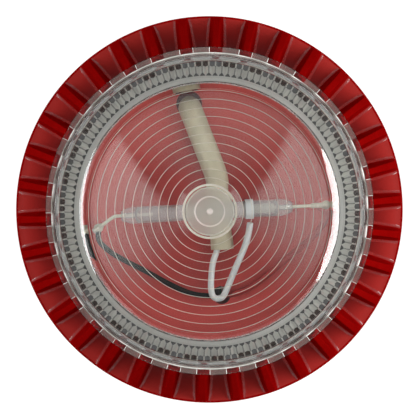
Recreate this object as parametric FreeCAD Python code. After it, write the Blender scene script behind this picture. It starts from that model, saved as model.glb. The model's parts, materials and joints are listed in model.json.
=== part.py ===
import FreeCAD, Part
import math
import os

# Siren strobe: a fluted sounder head with a clear flash lens, twisted on to a shallow wall base.
# Millimetres, +Z up. The origin is the centre of the base's wall face, and X lies along the flash tube.

V = FreeCAD.Vector
UP = V(0, 0, 1)

# Clearances
turn_gap = 0.3          # between pieces that turn on one another
seat_gap = 0.1          # around a piece that sits still in its seat
pin_gap = 0.05          # around a wire in its hole

# Wall base
base_inset = 2.5        # of the base's side from the head's rim
base_wall = 2.5
base_height = 12.0
base_floor = 2.5
base_edge = 0.8
spigot_wall = 2.3
spigot_height = 9.0
cable_entry_radius = 10.0
fixing_spacing = 51.0
fixing_slot_length = 9.0
fixing_slot_width = 4.5
gasket_wall = 1.4       # of the base, outside the wall gasket
gasket_width = 1.2
gasket_height = 2.0
base_ring_radius = 0.75     # section of the sealing ring round the spigot
base_ring_rise = 2.2        # from the base's shoulder to the ring's middle

# Bayonet between base and head
head_lug_count = 3
head_lug_angle = 9.0
head_lug_height = 2.4
head_lug_depth = 2.0
head_lug_rise = 4.8         # from the base's shoulder to the lug's underside
head_twist_angle = 14.0

# Sounder head
rim_radius = 46.5
rim_band = 3.2
rim_ledge = 0.5         # from the rim's side to the ribs' foot
skirt_wall = 7.2        # from the ribs' foot to the skirt's inside
head_top = 60.0
roof_thickness = 2.5
roof_setback = 1.6      # of the roof's edge from the ribs' top
shelf_width = 7.8       # of the ledge that the strobe deck lies on
collar_wall = 2.4
collar_height = 5.0

# Ribs and the scoops between them: one rib lies on +X
rib_count = 34
rib_lean = 9.0          # from the ribs' foot in to their top edge
rib_foot_width = 2.9
rib_top_width = 1.4
rib_draft = 0.065       # of each side, per unit of height
rib_depth = 3.0         # of a rib's inner edge from its top edge
scoop_skin = 1.8
scoop_flare = 8.5       # from the scoop's foot in to its throat
throat_drop = 13.0      # from the head's top to the throat
sill_drop = 10.5        # from the head's top to the sound ports' sills

# Lens
lens_headroom = 9.5         # from the tube's axis to the lens's top
lens_setback = 1.1      # from the ribs' top edge to the lens's wall
lens_taper = 5.8        # from the wall's foot to the crown
lens_wall = 2.2
lens_crown_thickness = 2.4
lens_shoulder = 1.7
flange_proud = 0.6      # past the ribs' top edge
flange_thickness = 2.0
block_proud = 0.8       # past the ribs' top edge
block_width = 2.2
block_height = 4.0
block_share = 0.57          # of a rib's pitch, over each scoop
prism_per_rib_count = 4
prism_depth = 0.8
prism_foot_rise = 5.1       # from the lens's underside to the prisms
prism_crown_drop = 5.1      # from the lens's top to the prisms
ring_first_radius = 5.55
ring_pitch = 1.95
ring_edge = 1.0             # plain, outside the rings
ring_step = 0.22
bullseye_depth = 0.6
gate_radius = 0.9
gate_height = 0.3
gate_dish_radius = 3.4
gate_dish_depth = 0.35

# Bayonet between head and lens
lens_lug_count = 4
lens_lug_angle = 8.0
lens_lug_height = 2.0
lens_lug_depth = 1.2
lens_lug_rise = 0.9         # from the lens's underside to the lug's underside
lens_twist_rib_count = 2     # the lens turns this many ribs to come free
lens_ring_radius = 0.5      # section of the sealing ring under the lens

# Strobe deck
deck_thickness = 2.0
duct_bore = 2.15
duct_wall = 0.9
duct_x = 1.75
leg_count = 3
leg_angle = 16.0
leg_thickness = 1.4
leg_hook = 1.2
leg_hook_height = 1.6
post_radius = 1.7

# Flash tube
tube_radius = 2.0
tube_wall = 0.45
tube_seal = 3.2             # glass closed over the pin at each end
pin_radius = 0.4
anode_reach = 4.0           # of the bare pin inside the tube
cathode_radius = 1.1
cathode_length = 5.0
left_pin_reach = 5.5        # from the tube's end to its post
right_pin_reach = 7.9
left_post_inset = 4.5       # from the deck's edge
left_post_y = -2.6
right_post_inset = 3.5
right_post_y = 0.0
joint_radius = 0.95
joint_length = 2.6
band_x = 9.4
band_width = 1.8
band_thickness = 0.3

# Leads in the lens
lead_radius = 0.9
lead_run = 3.4              # straight out of its joint
lead_entry = 1.9            # from the deck to a lead over the duct
lead_bend = 1.7             # where a lead turns down into the duct
trigger_radius = 0.9
sleeve_radius = 2.8
sleeve_bore = 1.0
sleeve_x = -3.6
sleeve_inset = 4.6          # from the deck's edge
sleeve_lift = 0.5           # from the deck
sleeve_gap = 0.4            # under the tube
sleeve_bend = 4.5           # where the sleeve leaves the deck's hole
sleeve_knee = 20.0          # where it turns to pass under the tube
sleeve_knee_x = 2.3
sleeve_knee_y = 8.0
sleeve_end_x = 2.6
sleeve_end_y = -9.5

# Sound plate and transducer
plate_rise = 29.0           # from the base's shoulder to the plate's underside
plate_thickness = 2.0
plate_gap = 0.4
boss_margin = 6.5       # from the board's edge to the screws' circle
boss_count = 3
boss_radius = 3.0
boss_start_angle = 30.0
pillar_radius = 2.8
duct_margin = 1.1           # between the duct and a boss
piezo_thickness = 0.25
ceramic_setback = 4.7       # from the edge of its plate
ceramic_thickness = 0.25
seat_ledge = 1.2
seat_ledge_height = 1.2
seat_wall = 1.4
seat_wall_height = 3.0
cap_thickness = 1.5
cap_hole_radius = 3.0
cap_plug_height = 1.2

# Circuit board
board_rise = 12.4           # from the base's shoulder to the board's underside
board_thickness = 1.6
board_margin = 2.0      # from the spigot's inside to the board's edge
screw_radius = 1.45
screw_head_radius = 2.8
screw_head_height = 2.0
screw_reach = 7.0           # into the head's boss
screw_slot_width = 0.7
screw_slot_depth = 0.8
capacitor_radius = 5.0
capacitor_height = 12.5
capacitor_crimp = 0.4
capacitor_crimp_rise = 2.0
capacitor_inset = 14.5      # from the board's edge
capacitor_angle = 24.0
coil_side = 8.0
coil_height = 8.0
transformer_length = 11.0
transformer_width = 10.0
transformer_height = 8.0
transformer_inset = 19.2    # from the board's edge
transformer_y = -9.0
film_length = 7.0
film_width = 3.0
film_height = 6.0
film_inset = 19.2
film_y = 10.0
chip_length = 5.0
chip_width = 4.0
chip_height = 1.6
chip_x = 9.0
chip_y = -8.0

# Tone switch and volume trimmer, under the board
switch_way_count = 5
switch_pitch = 2.54
switch_width = 6.2
switch_height = 4.6
switch_end = 1.6
switch_inset = 18.2         # from the board's edge
lever_width = 1.2
lever_length = 1.4
lever_travel = 1.4
lever_height = 2.2
lever_proud = 0.7
trimmer_side = 6.4
trimmer_height = 3.6
trimmer_inset = 18.2        # from the board's edge
trimmer_y = 4.0
rotor_radius = 2.2
rotor_height = 1.6
rotor_proud = 0.4
rotor_slot_width = 0.7
rotor_slot_depth = 0.6

# Terminals in the base
terminal_way_count = 4
terminal_pitch = 5.5
terminal_depth = 9.0
terminal_height = 9.0
terminal_inset = 12.2   # from the spigot's inside
terminal_screw_radius = 1.7
terminal_screw_height = 3.0
terminal_screw_sunk = 2.4
terminal_screw_offset = 1.6
wire_hole_radius = 1.5
wire_hole_depth = 4.0
spring_width = 3.0
spring_thickness = 0.4
spring_offset = 2.6
spring_reach = 4.5
spring_bend = 1.5
pad_thickness = 0.1
pad_length = 5.0

# Heights and radii that follow
base_radius = rim_radius - base_inset
rib_foot_radius = rim_radius - rim_ledge
rib_top_radius = rib_foot_radius - rib_lean
skirt_inner = rib_foot_radius - skirt_wall
spigot_radius = skirt_inner - turn_gap
spigot_inner = spigot_radius - spigot_wall
terminal_y = spigot_inner - terminal_inset
board_radius = spigot_inner - board_margin
transformer_x = transformer_inset - board_radius
film_x = film_inset - board_radius
trimmer_x = trimmer_inset - board_radius
switch_y = switch_inset - board_radius
boss_circle = board_radius - boss_margin
spigot_top = base_height + spigot_height
head_foot = base_height + turn_gap
cone_foot = head_foot + rim_band
roof_under = head_top - roof_thickness
roof_radius = rib_top_radius - roof_setback
throat_height = head_top - throat_drop
throat_radius = rib_foot_radius - scoop_flare
sill_height = head_top - sill_drop
lens_foot_radius = rib_top_radius - lens_setback
lens_crown_radius = lens_foot_radius - lens_taper
lens_inner = lens_foot_radius - lens_wall
collar_radius = lens_inner - turn_gap
flange_radius = rib_top_radius + flange_proud
block_radius = rib_top_radius + block_proud
collar_inner = collar_radius - collar_wall
shelf_bore_radius = collar_inner - shelf_width
duct_outer = duct_bore + duct_wall
duct_y = boss_radius + duct_margin + duct_outer - boss_circle
seat_outer = -duct_y - duct_outer - turn_gap
piezo_radius = seat_outer - seat_wall - seat_gap
ceramic_radius = piezo_radius - ceramic_setback
collar_top = head_top + collar_height
rib_pitch = 360.0 / rib_count
lens_foot = head_top + turn_gap
flange_top = lens_foot + flange_thickness
prism_count = prism_per_rib_count * rib_count
deck_radius = collar_inner - turn_gap
deck_top = head_top + deck_thickness
left_post_x = left_post_inset - deck_radius
right_post_x = deck_radius - right_post_inset
tube_left = left_post_x + left_pin_reach
tube_right = right_post_x - right_pin_reach
sleeve_y = deck_radius - sleeve_inset
sleeve_height = deck_top + sleeve_lift + sleeve_radius
tube_height = sleeve_height + sleeve_radius + sleeve_gap + tube_radius
lens_top = tube_height + lens_headroom
prism_foot = lens_foot + prism_foot_rise
prism_crown = lens_top - prism_crown_drop
board_under = base_height + board_rise
board_top = board_under + board_thickness
plate_under = base_height + plate_rise
plate_top = plate_under + plate_thickness
post_top = tube_height - joint_radius
sleeve_foot = board_top + coil_height
duct_foot = plate_under


def tangent_arcs(points, radii):
    """Edges of straight runs through points, with an arc of the given radius at each inner point."""
    edges = []
    start = points[0]
    for before, corner, after, radius in zip(points, points[1:], points[2:], radii):
        to_before = (before - corner).normalize()
        to_after = (after - corner).normalize()
        half = to_before.getAngle(to_after) / 2
        reach = radius / math.tan(half)
        bisector = (to_before + to_after).normalize()
        first = corner + to_before * reach
        last = corner + to_after * reach
        middle = corner + bisector * (radius / math.sin(half) - radius)
        edges.append(Part.LineSegment(start, first).toShape())
        edges.append(Part.Arc(first, middle, last).toShape())
        start = last
    edges.append(Part.LineSegment(start, points[-1]).toShape())
    return edges


def wide_radii(points, share=0.45):
    """The largest arc at each inner point that leaves room for its neighbours."""
    radii = []
    for before, corner, after in zip(points, points[1:], points[2:]):
        run = min((before - corner).Length, (after - corner).Length)
        turn = math.pi - (before - corner).getAngle(after - corner)
        radii.append(share * run / math.tan(turn / 2))
    return radii


def pipe(points, radius, radii=None):
    """A round bar along points, straight runs joined by tangent arcs."""
    path = Part.Wire(tangent_arcs(points, radii or wide_radii(points)))
    section = Part.Wire(Part.Circle(points[0], points[1] - points[0], radius).toShape())
    return path.makePipeShell([section], True, False)


def revolve(profile):
    """A solid of revolution about Z from (radius, height) points."""
    points = [V(r, 0, z) for r, z in profile]
    face = Part.Face(Part.makePolygon(points + points[:1]))
    return face.revolve(V(), UP, 360)


def ring(outer, inner, low, high):
    return revolve([(inner, low), (outer, low), (outer, high), (inner, high)])


def post(x, y, radius, low, high):
    return Part.makeCylinder(radius, high - low, V(x, y, low))


def block(x, y, length, width, low, high):
    return Part.makeBox(length, width, high - low, V(x - length / 2, y - width / 2, low))


def sector(outer, inner, low, high, middle, width):
    """A piece of a ring, width degrees wide about the angle middle."""
    slices = [Part.makeCylinder(r, high - low, V(0, 0, low), UP, width) for r in (outer, inner)]
    return turned(slices[0].cut(slices[1]), middle - width / 2)


def turned(shape, angle):
    copy = shape.copy()
    copy.rotate(V(), UP, angle)
    return copy


def around(shape, count, start=0.0):
    """Copies of a shape, evenly spaced about Z."""
    return [turned(shape, start + 360.0 * i / count) for i in range(count)]


def boss_places():
    angles = [math.radians(boss_start_angle + 360.0 * i / boss_count) for i in range(boss_count)]
    return [(boss_circle * math.cos(a), boss_circle * math.sin(a)) for a in angles]


def between(z, low, high, at_low, at_high):
    return at_low + (at_high - at_low) * (z - low) / (high - low)


def scoop_radius(z):
    """The outside of the scoops' floor: a quarter ellipse, level at the rim and upright at the throat."""
    drop = min(1.0, max(0.0, (throat_height - z) / (throat_height - cone_foot)))
    return rib_foot_radius - scoop_flare * math.sqrt(1 - drop ** 2)


def chamber_radius(z):
    return scoop_radius(z) - scoop_skin


def scoop_arc(shift, start_radius):
    """The flare as an edge in the XZ plane, moved inwards by shift, from start_radius in to the throat."""
    middle = V(rib_foot_radius - shift, 0, throat_height)
    long_end = middle - V(0, 0, throat_height - cone_foot)
    ellipse = Part.Ellipse(long_end, middle - V(scoop_flare, 0, 0), middle)
    start = math.asin((middle.x - start_radius) / scoop_flare)
    return Part.ArcOfEllipse(ellipse, start, math.pi / 2).toShape()


def lens_radius(z):
    return between(z, flange_top, lens_top, lens_foot_radius, lens_crown_radius)


def bayonet_slot(outer, inner, low, high, top, lug, twist):
    """The way of one lug: a run along the wall, with an entry up to the wall's top at the far end."""
    play = math.degrees(turn_gap / inner)
    run = sector(outer, inner, low, high, twist / 2, lug + twist + 2 * play)
    entry = sector(outer, inner, low, top, twist, lug + 2 * play)
    return run.fuse(entry)


# Wall base

def mounting_base():
    shell = revolve([
        (cable_entry_radius, 0), (base_radius - base_edge, 0), (base_radius, base_edge),
        (base_radius, base_height), (base_radius - base_wall, base_height), (base_radius - base_wall, base_floor),
        (spigot_radius, base_floor), (spigot_radius, spigot_top),
        (spigot_inner, spigot_top), (spigot_inner, base_floor), (cable_entry_radius, base_floor),
    ])
    gasket_outer = base_radius - gasket_wall
    cuts = [ring(gasket_outer, gasket_outer - gasket_width, 0, gasket_height)]
    ring_z = base_height + base_ring_rise
    ring_half = base_ring_radius + seat_gap
    cuts.append(ring(spigot_radius + 1, base_ring_inner() - seat_gap, ring_z - ring_half, ring_z + ring_half))
    for side in (-1, 1):
        x = side * fixing_spacing / 2
        straight = fixing_slot_length - fixing_slot_width
        cuts.append(block(x, 0, straight, fixing_slot_width, 0, base_floor))
        for end in (-1, 1):
            cuts.append(post(x + end * straight / 2, 0, fixing_slot_width / 2, 0, base_floor))
    lug_low = base_height + head_lug_rise
    slot = bayonet_slot(
        spigot_radius + 1, spigot_inner - 1, lug_low - turn_gap, lug_low + head_lug_height + turn_gap,
        spigot_top, head_lug_angle, head_twist_angle,
    )
    cuts += around(slot, head_lug_count)
    return shell.cut(cuts)


def base_ring_inner():
    return spigot_radius - 2 * base_ring_radius


def wall_gasket():
    outer = base_radius - gasket_wall
    return ring(outer - seat_gap, outer - gasket_width + seat_gap, 0, gasket_height)


def base_seal():
    middle = base_ring_inner() + base_ring_radius
    return Part.makeTorus(middle, base_ring_radius, V(0, 0, base_height + base_ring_rise))


def terminal_places():
    return [(i - (terminal_way_count - 1) / 2) * terminal_pitch for i in range(terminal_way_count)]


def terminal_block():
    top = base_floor + terminal_height
    body = block(0, terminal_y, terminal_way_count * terminal_pitch, terminal_depth, base_floor, top)
    cuts = []
    for x in terminal_places():
        sunk = top - terminal_screw_sunk - seat_gap
        cuts.append(post(x, terminal_y - terminal_screw_offset, terminal_screw_radius + seat_gap, sunk, top))
        mouth = V(x, terminal_y - terminal_depth / 2, base_floor + terminal_height / 3)
        cuts.append(Part.makeCylinder(wire_hole_radius, wire_hole_depth, mouth, V(0, 1, 0)))
    return body.cut(cuts)


def slotted_screw_head(x, y, radius, low, high, slot_width, slot_depth):
    """A round head whose driver slot is cut into its upper face."""
    head = post(x, y, radius, low, high)
    return head.cut(block(x, y, 2 * radius, slot_width, high - slot_depth, high))


def terminal_screws():
    low = base_floor + terminal_height - terminal_screw_sunk
    return [
        slotted_screw_head(
            x, terminal_y - terminal_screw_offset, terminal_screw_radius, low, low + terminal_screw_height,
            screw_slot_width, screw_slot_depth,
        )
        for x in terminal_places()
    ]


def contact_springs():
    """Leaf springs that rise from the terminals to the pads under the head's board."""
    low = base_floor + terminal_height
    high = board_under - pad_thickness - turn_gap - spring_thickness / 2
    y = terminal_y + spring_offset
    springs = []
    for x in terminal_places():
        points = [V(x, y, low), V(x, y, high), V(x, y - spring_reach, high)]
        path = Part.Wire(tangent_arcs(points, [spring_bend]))
        left = x - spring_width / 2
        half = spring_thickness / 2
        corners = [V(left, y - half, low), V(left + spring_width, y - half, low)]
        corners += [V(left + spring_width, y + half, low), V(left, y + half, low)]
        section = Part.makePolygon(corners + corners[:1])
        springs.append(path.makePipeShell([section], True, False))
    return springs


# Sounder head

def rib_half_width(r, z):
    """Half of a rib's width: its sides are flat, drafted along Z, and meet its sloping top edge at the stated widths."""
    rise = head_top - cone_foot
    spread = ((rib_top_width - rib_foot_width) / 2 + rib_draft * rise) / (rib_top_radius - rib_foot_radius)
    return rib_foot_width / 2 + spread * (r - rib_foot_radius) - rib_draft * (z - cone_foot)


def rib():
    """The rib on +X: its back runs down inside the scoops' skin, and up past the sound ports to the roof."""
    inner = rib_top_radius - rib_depth
    root = cone_foot - rim_band / 3
    outline = [(rib_foot_radius, cone_foot), (rib_top_radius, head_top), (inner, head_top), (inner, sill_height)]
    outline.append((throat_radius - scoop_skin / 2, sill_height))
    steps = 10
    for i in range(steps):
        z = between(i, 0, steps, throat_height, cone_foot)
        outline.append((scoop_radius(z) - scoop_skin / 2, z))
    outline += [(outline[-1][0], root), (rib_foot_radius, root)]
    sides = []
    for side in (1, -1):
        corners = [V(r, side * rib_half_width(r, z), z) for r, z in outline]
        sides.append(Part.makePolygon(corners + corners[:1]))
    return Part.makeLoft(sides, True, True)


def skirt():
    """The flared skin under the ribs, from the rim up to the sills of the sound ports."""
    arcs = [scoop_arc(0, rib_foot_radius), scoop_arc(scoop_skin, skirt_inner)]
    inside = arcs[1].Vertexes[0].Point
    sill = [V(throat_radius, 0, sill_height), V(throat_radius - scoop_skin, 0, sill_height)]
    foot = [V(*inside), V(skirt_inner, 0, head_foot), V(rim_radius, 0, head_foot), V(rim_radius, 0, cone_foot)]
    foot.append(V(rib_foot_radius, 0, cone_foot))
    throat = V(throat_radius, 0, throat_height)
    runs = list(zip(foot, foot[1:])) + [(throat, sill[0]), (sill[0], sill[1]), (sill[1], throat - V(scoop_skin, 0, 0))]
    edges = arcs + [Part.LineSegment(a, b).toShape() for a, b in runs]
    face = Part.Face(Part.Wire(Part.__sortEdges__(edges)))
    return face.revolve(V(), UP, 360)


def sounder_body():
    roof = revolve([
        (shelf_bore_radius, roof_under), (roof_radius, roof_under), (roof_radius, head_top),
        (collar_radius, head_top), (collar_radius, collar_top), (collar_inner, collar_top),
        (collar_inner, head_top), (shelf_bore_radius, head_top),
    ])
    lug_low = base_height + head_lug_rise
    lug = sector(
        skirt_inner + 1, skirt_inner - head_lug_depth, lug_low, lug_low + head_lug_height, 0, head_lug_angle,
    )
    bosses = [post(x, y, boss_radius, plate_top, roof_under + roof_thickness / 2) for x, y in boss_places()]
    shell = skirt().fuse([roof] + bosses + around(lug, head_lug_count) + around(rib(), rib_count))

    cuts = [post(x, y, screw_radius + pin_gap, plate_top, plate_top + screw_reach + 1) for x, y in boss_places()]
    seal_half = lens_ring_radius + seat_gap
    middle = lens_ring_middle()
    cuts.append(ring(middle + seal_half, middle - seal_half, head_top - 2 * lens_ring_radius - seat_gap, head_top))
    cuts.append(post(sleeve_x, sleeve_y, sleeve_radius + turn_gap, roof_under, head_top))
    cuts.append(post(duct_x, duct_y, duct_outer + turn_gap, roof_under, head_top))
    lug_floor = lens_foot + lens_lug_rise
    slot = bayonet_slot(
        collar_radius + 1, lens_inner - lens_lug_depth - turn_gap, lug_floor - turn_gap,
        lug_floor + lens_lug_height + turn_gap, collar_top, lens_lug_angle, lens_twist_rib_count * rib_pitch,
    )
    cuts += around(slot, lens_lug_count)
    return shell.cut(cuts)


def lens_ring_middle():
    return collar_radius + turn_gap + seat_gap + lens_ring_radius


def lens_seal():
    return Part.makeTorus(lens_ring_middle(), lens_ring_radius, V(0, 0, head_top - lens_ring_radius))


def strobe_deck():
    """The red floor under the lens, with two posts for the tube, a duct for its leads and three snap legs."""
    disc = post(0, 0, deck_radius, head_top, deck_top)
    posts = [
        post(left_post_x, left_post_y, post_radius, head_top, post_top),
        post(right_post_x, right_post_y, post_radius, head_top, post_top),
    ]
    duct = post(duct_x, duct_y, duct_outer, duct_foot, deck_top)
    leg_outer = shelf_bore_radius - turn_gap
    leg_foot = roof_under - seat_gap - leg_hook_height
    leg = sector(leg_outer, leg_outer - leg_thickness, leg_foot, deck_top, 0, leg_angle)
    hook = sector(leg_outer + leg_hook, leg_outer - leg_thickness, leg_foot, roof_under - seat_gap, 0, leg_angle)
    leg_start = boss_start_angle + 90.0 / leg_count
    solid = disc.fuse(posts + [duct] + around(leg.fuse(hook), leg_count, leg_start))
    bore = post(duct_x, duct_y, duct_bore, duct_foot, deck_top)
    return solid.cut([bore, sleeve_pipe(sleeve_radius + turn_gap)])


def sound_plate():
    """The plate that carries the transducer, on pillars that stand on the circuit board."""
    plate = post(0, 0, chamber_radius(plate_top) - plate_gap, plate_under, plate_top)
    seat_inner = piezo_radius + seat_gap
    pieces = [ring(seat_outer, seat_inner, plate_top, plate_top + seat_wall_height)]
    pieces.append(ring(seat_outer, seat_inner - seat_ledge, plate_top, plate_top + seat_ledge_height))
    pieces += [post(x, y, pillar_radius, board_top, plate_under) for x, y in boss_places()]
    plate = plate.fuse(pieces)
    cuts = [post(0, 0, seat_inner - seat_ledge, plate_under, plate_top)]
    cuts += [post(x, y, screw_radius + seat_gap, board_top, plate_top) for x, y in boss_places()]
    cuts.append(post(duct_x, duct_y, duct_outer + turn_gap, plate_under, plate_top))
    cuts.append(post(sleeve_x, sleeve_y, sleeve_radius + turn_gap, plate_under, plate_top))
    return plate.cut(cuts)


def piezo_plate():
    low = plate_top + seat_ledge_height
    return post(0, 0, piezo_radius, low, low + piezo_thickness)


def piezo_ceramic():
    high = plate_top + seat_ledge_height
    return post(0, 0, ceramic_radius, high - ceramic_thickness, high)


def resonator_cap():
    """The cap over the transducer, with the hole that tunes its cavity."""
    low = plate_top + seat_wall_height
    plug = piezo_radius
    return revolve([
        (cap_hole_radius, low), (plug - seat_wall, low), (plug - seat_wall, low - cap_plug_height),
        (plug, low - cap_plug_height), (plug, low), (seat_outer, low), (seat_outer, low + cap_thickness),
        (cap_hole_radius, low + cap_thickness),
    ])


# Circuit board and what is on it

def main_board():
    board = post(0, 0, board_radius, board_under, board_top)
    return board.cut([post(x, y, screw_radius + seat_gap, board_under, board_top) for x, y in boss_places()])


def contact_pads():
    y = terminal_y + spring_offset - spring_reach + pad_length / 2
    low = board_under - pad_thickness
    return [block(x, y, spring_width, pad_length, low, board_under) for x in terminal_places()]


def board_screws():
    screws = []
    for x, y in boss_places():
        low = board_under - screw_head_height
        head = post(x, y, screw_head_radius, low, board_under)
        shaft = post(x, y, screw_radius, board_under, plate_top + screw_reach)
        slot = block(x, y, 2 * screw_head_radius, screw_slot_width, low, low + screw_slot_depth)
        screws.append(head.fuse(shaft).cut(slot).removeSplitter())
    return screws


def storage_capacitor():
    """A can with the crimp groove that holds its bung."""
    neck = capacitor_radius - capacitor_crimp
    groove = board_top + capacitor_crimp_rise
    top = board_top + capacitor_height
    can = revolve([
        (0, board_top), (capacitor_radius, board_top), (capacitor_radius, groove - capacitor_crimp),
        (neck, groove), (capacitor_radius, groove + capacitor_crimp),
        (capacitor_radius, top - capacitor_crimp), (neck, top), (0, top),
    ])
    can.translate(V(board_radius - capacitor_inset, 0, 0))
    return turned(can, capacitor_angle)


def trigger_transformer():
    """The coil that fires the tube, with the sleeve of its lead standing on it."""
    return block(sleeve_x, sleeve_y, coil_side, coil_side, board_top, sleeve_foot)


def step_up_transformer():
    """A ferrite core with its winding between the two cheeks."""
    core = block(transformer_x, transformer_y, transformer_length, transformer_width, board_top,
                 board_top + transformer_height)
    waist = transformer_length / 2
    for side in (-1, 1):
        y = transformer_y + side * transformer_width / 2
        core = core.cut(block(transformer_x, y, waist, transformer_width / 5, board_top,
                              board_top + transformer_height))
    return core


def trigger_capacitor():
    return block(film_x, film_y, film_length, film_width, board_top, board_top + film_height)


def driver_chip():
    return block(chip_x, chip_y, chip_length, chip_width, board_top, board_top + chip_height)


def lever_places():
    return [(i - (switch_way_count - 1) / 2) * switch_pitch for i in range(switch_way_count)]


def tone_switch():
    """The housing of the tone switch, with one slot for each lever."""
    low = board_under - switch_height
    length = (switch_way_count - 1) * switch_pitch + lever_width + 2 * switch_end
    body = block(0, switch_y, length, switch_width, low, board_under)
    way = lever_length + lever_travel + 2 * seat_gap
    deep = lever_height - lever_proud + seat_gap
    slots = [block(x, switch_y, lever_width + 2 * seat_gap, way, low, low + deep) for x in lever_places()]
    return body.cut(slots)


def tone_lever(x):
    low = board_under - switch_height - lever_proud
    return block(x, switch_y - lever_travel / 2, lever_width, lever_length, low, low + lever_height)


def volume_trimmer():
    low = board_under - trimmer_height
    body = block(trimmer_x, trimmer_y, trimmer_side, trimmer_side, low, board_under)
    deep = rotor_height - rotor_proud + seat_gap
    return body.cut(post(trimmer_x, trimmer_y, rotor_radius + turn_gap, low, low + deep))


def volume_rotor():
    low = board_under - trimmer_height - rotor_proud
    rotor = post(trimmer_x, trimmer_y, rotor_radius, low, low + rotor_height)
    return rotor.cut(block(trimmer_x, trimmer_y, 2 * rotor_radius, rotor_slot_width, low, low + rotor_slot_depth))


# Flash tube and its leads

def along_x(profile):
    """A solid of revolution about the tube's axis from (x, radius) points."""
    points = [V(x, 0, tube_height + r) for x, r in profile]
    face = Part.Face(Part.makePolygon(points + points[:1]))
    return face.revolve(V(0, 0, tube_height), V(1, 0, 0), 360)


def flash_tube():
    """The glass envelope: a thin tube drawn down and closed over a pin at each end."""
    hole = pin_radius + pin_gap
    neck = (tube_radius + hole) / 2
    taper = tube_seal / 2
    bore = tube_radius - tube_wall
    outside = [
        (tube_left, hole), (tube_left, neck), (tube_left + taper, tube_radius),
        (tube_right - taper, tube_radius), (tube_right, neck), (tube_right, hole),
    ]
    inside = [
        (tube_right - tube_seal, hole), (tube_right - tube_seal - tube_wall, bore),
        (tube_left + tube_seal + tube_wall, bore), (tube_left + tube_seal, hole),
    ]
    return along_x(outside + inside)


def joint_at(x, y, direction):
    """A bead of solder on a post, round the end of a pin."""
    middle = V(x, y, tube_height)
    along = V(*direction).normalize()
    bead = Part.makeCylinder(joint_radius, joint_length, middle - along * (joint_length / 2), along)
    return bead.makeFillet(joint_radius * 0.4, [e for e in bead.Edges if e.Curve.TypeId == "Part::GeomCircle"])


def left_pin_points():
    bend = V(tube_left - tube_seal / 2, 0, tube_height)
    return [V(tube_left + tube_seal + anode_reach, 0, tube_height), bend, V(left_post_x, left_post_y, tube_height)]


def left_pin_direction():
    points = left_pin_points()
    return points[2] - points[1]


def anode_pin():
    return pipe(left_pin_points(), pin_radius, [tube_seal / 2])


def cathode_pin():
    inner = tube_right - tube_seal - 2 * tube_wall
    pin = [(inner, pin_radius), (right_post_x, pin_radius), (right_post_x, 0)]
    sleeve = [(inner - cathode_length, 0), (inner - cathode_length, cathode_radius), (inner, cathode_radius)]
    return along_x(sleeve + pin)


def solder_joints():
    left = joint_at(left_post_x, left_post_y, left_pin_direction()).cut(
        pipe(left_pin_points(), pin_radius + pin_gap, [tube_seal / 2])
    )
    right = joint_at(right_post_x, right_post_y, (1, 0, 0)).cut(
        along_x([(tube_right, 0), (tube_right, pin_radius + pin_gap),
                 (right_post_x + pin_gap, pin_radius + pin_gap), (right_post_x + pin_gap, 0)])
    )
    return [left, right]


def trigger_band():
    inner = tube_radius + pin_gap
    outer = inner + band_thickness
    ends = (band_x - band_width / 2, band_x + band_width / 2)
    return along_x([(ends[0], inner), (ends[0], outer), (ends[1], outer), (ends[1], inner)])


def under_tube(share):
    """A height between the deck and the tube's axis."""
    return deck_top + share * (tube_height - deck_top)


def lead_points(post_x, post_y, away, on_the_way, duct_side):
    """A lead's route: out of its solder joint, over the deck, into the duct and down to the board."""
    out = V(*away).normalize()
    start = V(post_x, post_y, tube_height) + out * (joint_radius + pin_gap)
    x = duct_x + duct_side * (lead_radius + pin_gap)
    points = [start, start + out * lead_run]
    points += [V(deck_radius * px, deck_radius * py, under_tube(rise)) for px, py, rise in on_the_way]
    return points + [V(x, duct_y, deck_top + lead_entry), V(x, duct_y, board_top)]


def lead_along(points):
    radii = wide_radii(points)
    radii[-1] = lead_bend
    return pipe(points, lead_radius, radii)


def cathode_lead():
    """Black lead from the left post."""
    across = left_pin_direction().cross(UP) * -1
    on_the_way = [(-0.554, -0.423, 0.35), (-0.26, -0.58, 0.17)]
    return lead_along(lead_points(left_post_x, left_post_y, across, on_the_way, -1))


def anode_lead():
    """Red lead from the right post."""
    on_the_way = [(0.528, -0.443, 0.35), (0.277, -0.632, 0.17)]
    return lead_along(lead_points(right_post_x, right_post_y, (0, -1, 0), on_the_way, 1))


def sleeve_points():
    places = [(sleeve_x, sleeve_y), (sleeve_knee_x, sleeve_knee_y), (sleeve_end_x, sleeve_end_y)]
    return [V(sleeve_x, sleeve_y, sleeve_foot)] + [V(x, y, sleeve_height) for x, y in places]


def sleeve_pipe(radius):
    return pipe(sleeve_points(), radius, [sleeve_bend, sleeve_knee])


def trigger_sleeve():
    return sleeve_pipe(sleeve_radius).cut(sleeve_pipe(sleeve_bore))


def trigger_lead():
    """Silver wire inside the sleeve, then a hairpin back up to the band on the tube."""
    points = sleeve_points()
    along = (points[3] - points[2]).normalize()
    points[3] = points[3] + along * (2 * trigger_radius)
    hairpin = [
        (-0.01, -0.489, 0.45), (-0.029, -0.606, 0.53), (0.013, -0.664, 0.54), (0.072, -0.638, 0.56),
        (0.179, -0.43, 0.72), (0.293, -0.228, 0.9),
    ]
    points += [V(deck_radius * x, deck_radius * y, under_tube(share)) for x, y, share in hairpin]
    points.append(V(band_x, -tube_radius - band_thickness - trigger_radius - pin_gap, tube_height))
    radii = wide_radii(points)
    radii[:2] = [sleeve_bend, sleeve_knee]
    return pipe(points, trigger_radius, radii)


# Lens

def prism_section(z):
    """The star-shaped inside of the lens's wall at one height."""
    valley = lens_radius(z) - lens_wall + prism_depth / 2
    peak = valley - prism_depth
    step = math.pi / prism_count
    points = []
    for i in range(2 * prism_count):
        r = valley if i % 2 == 0 else peak
        points.append(V(r * math.cos(i * step), r * math.sin(i * step), z))
    return Part.makePolygon(points + points[:1])


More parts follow.
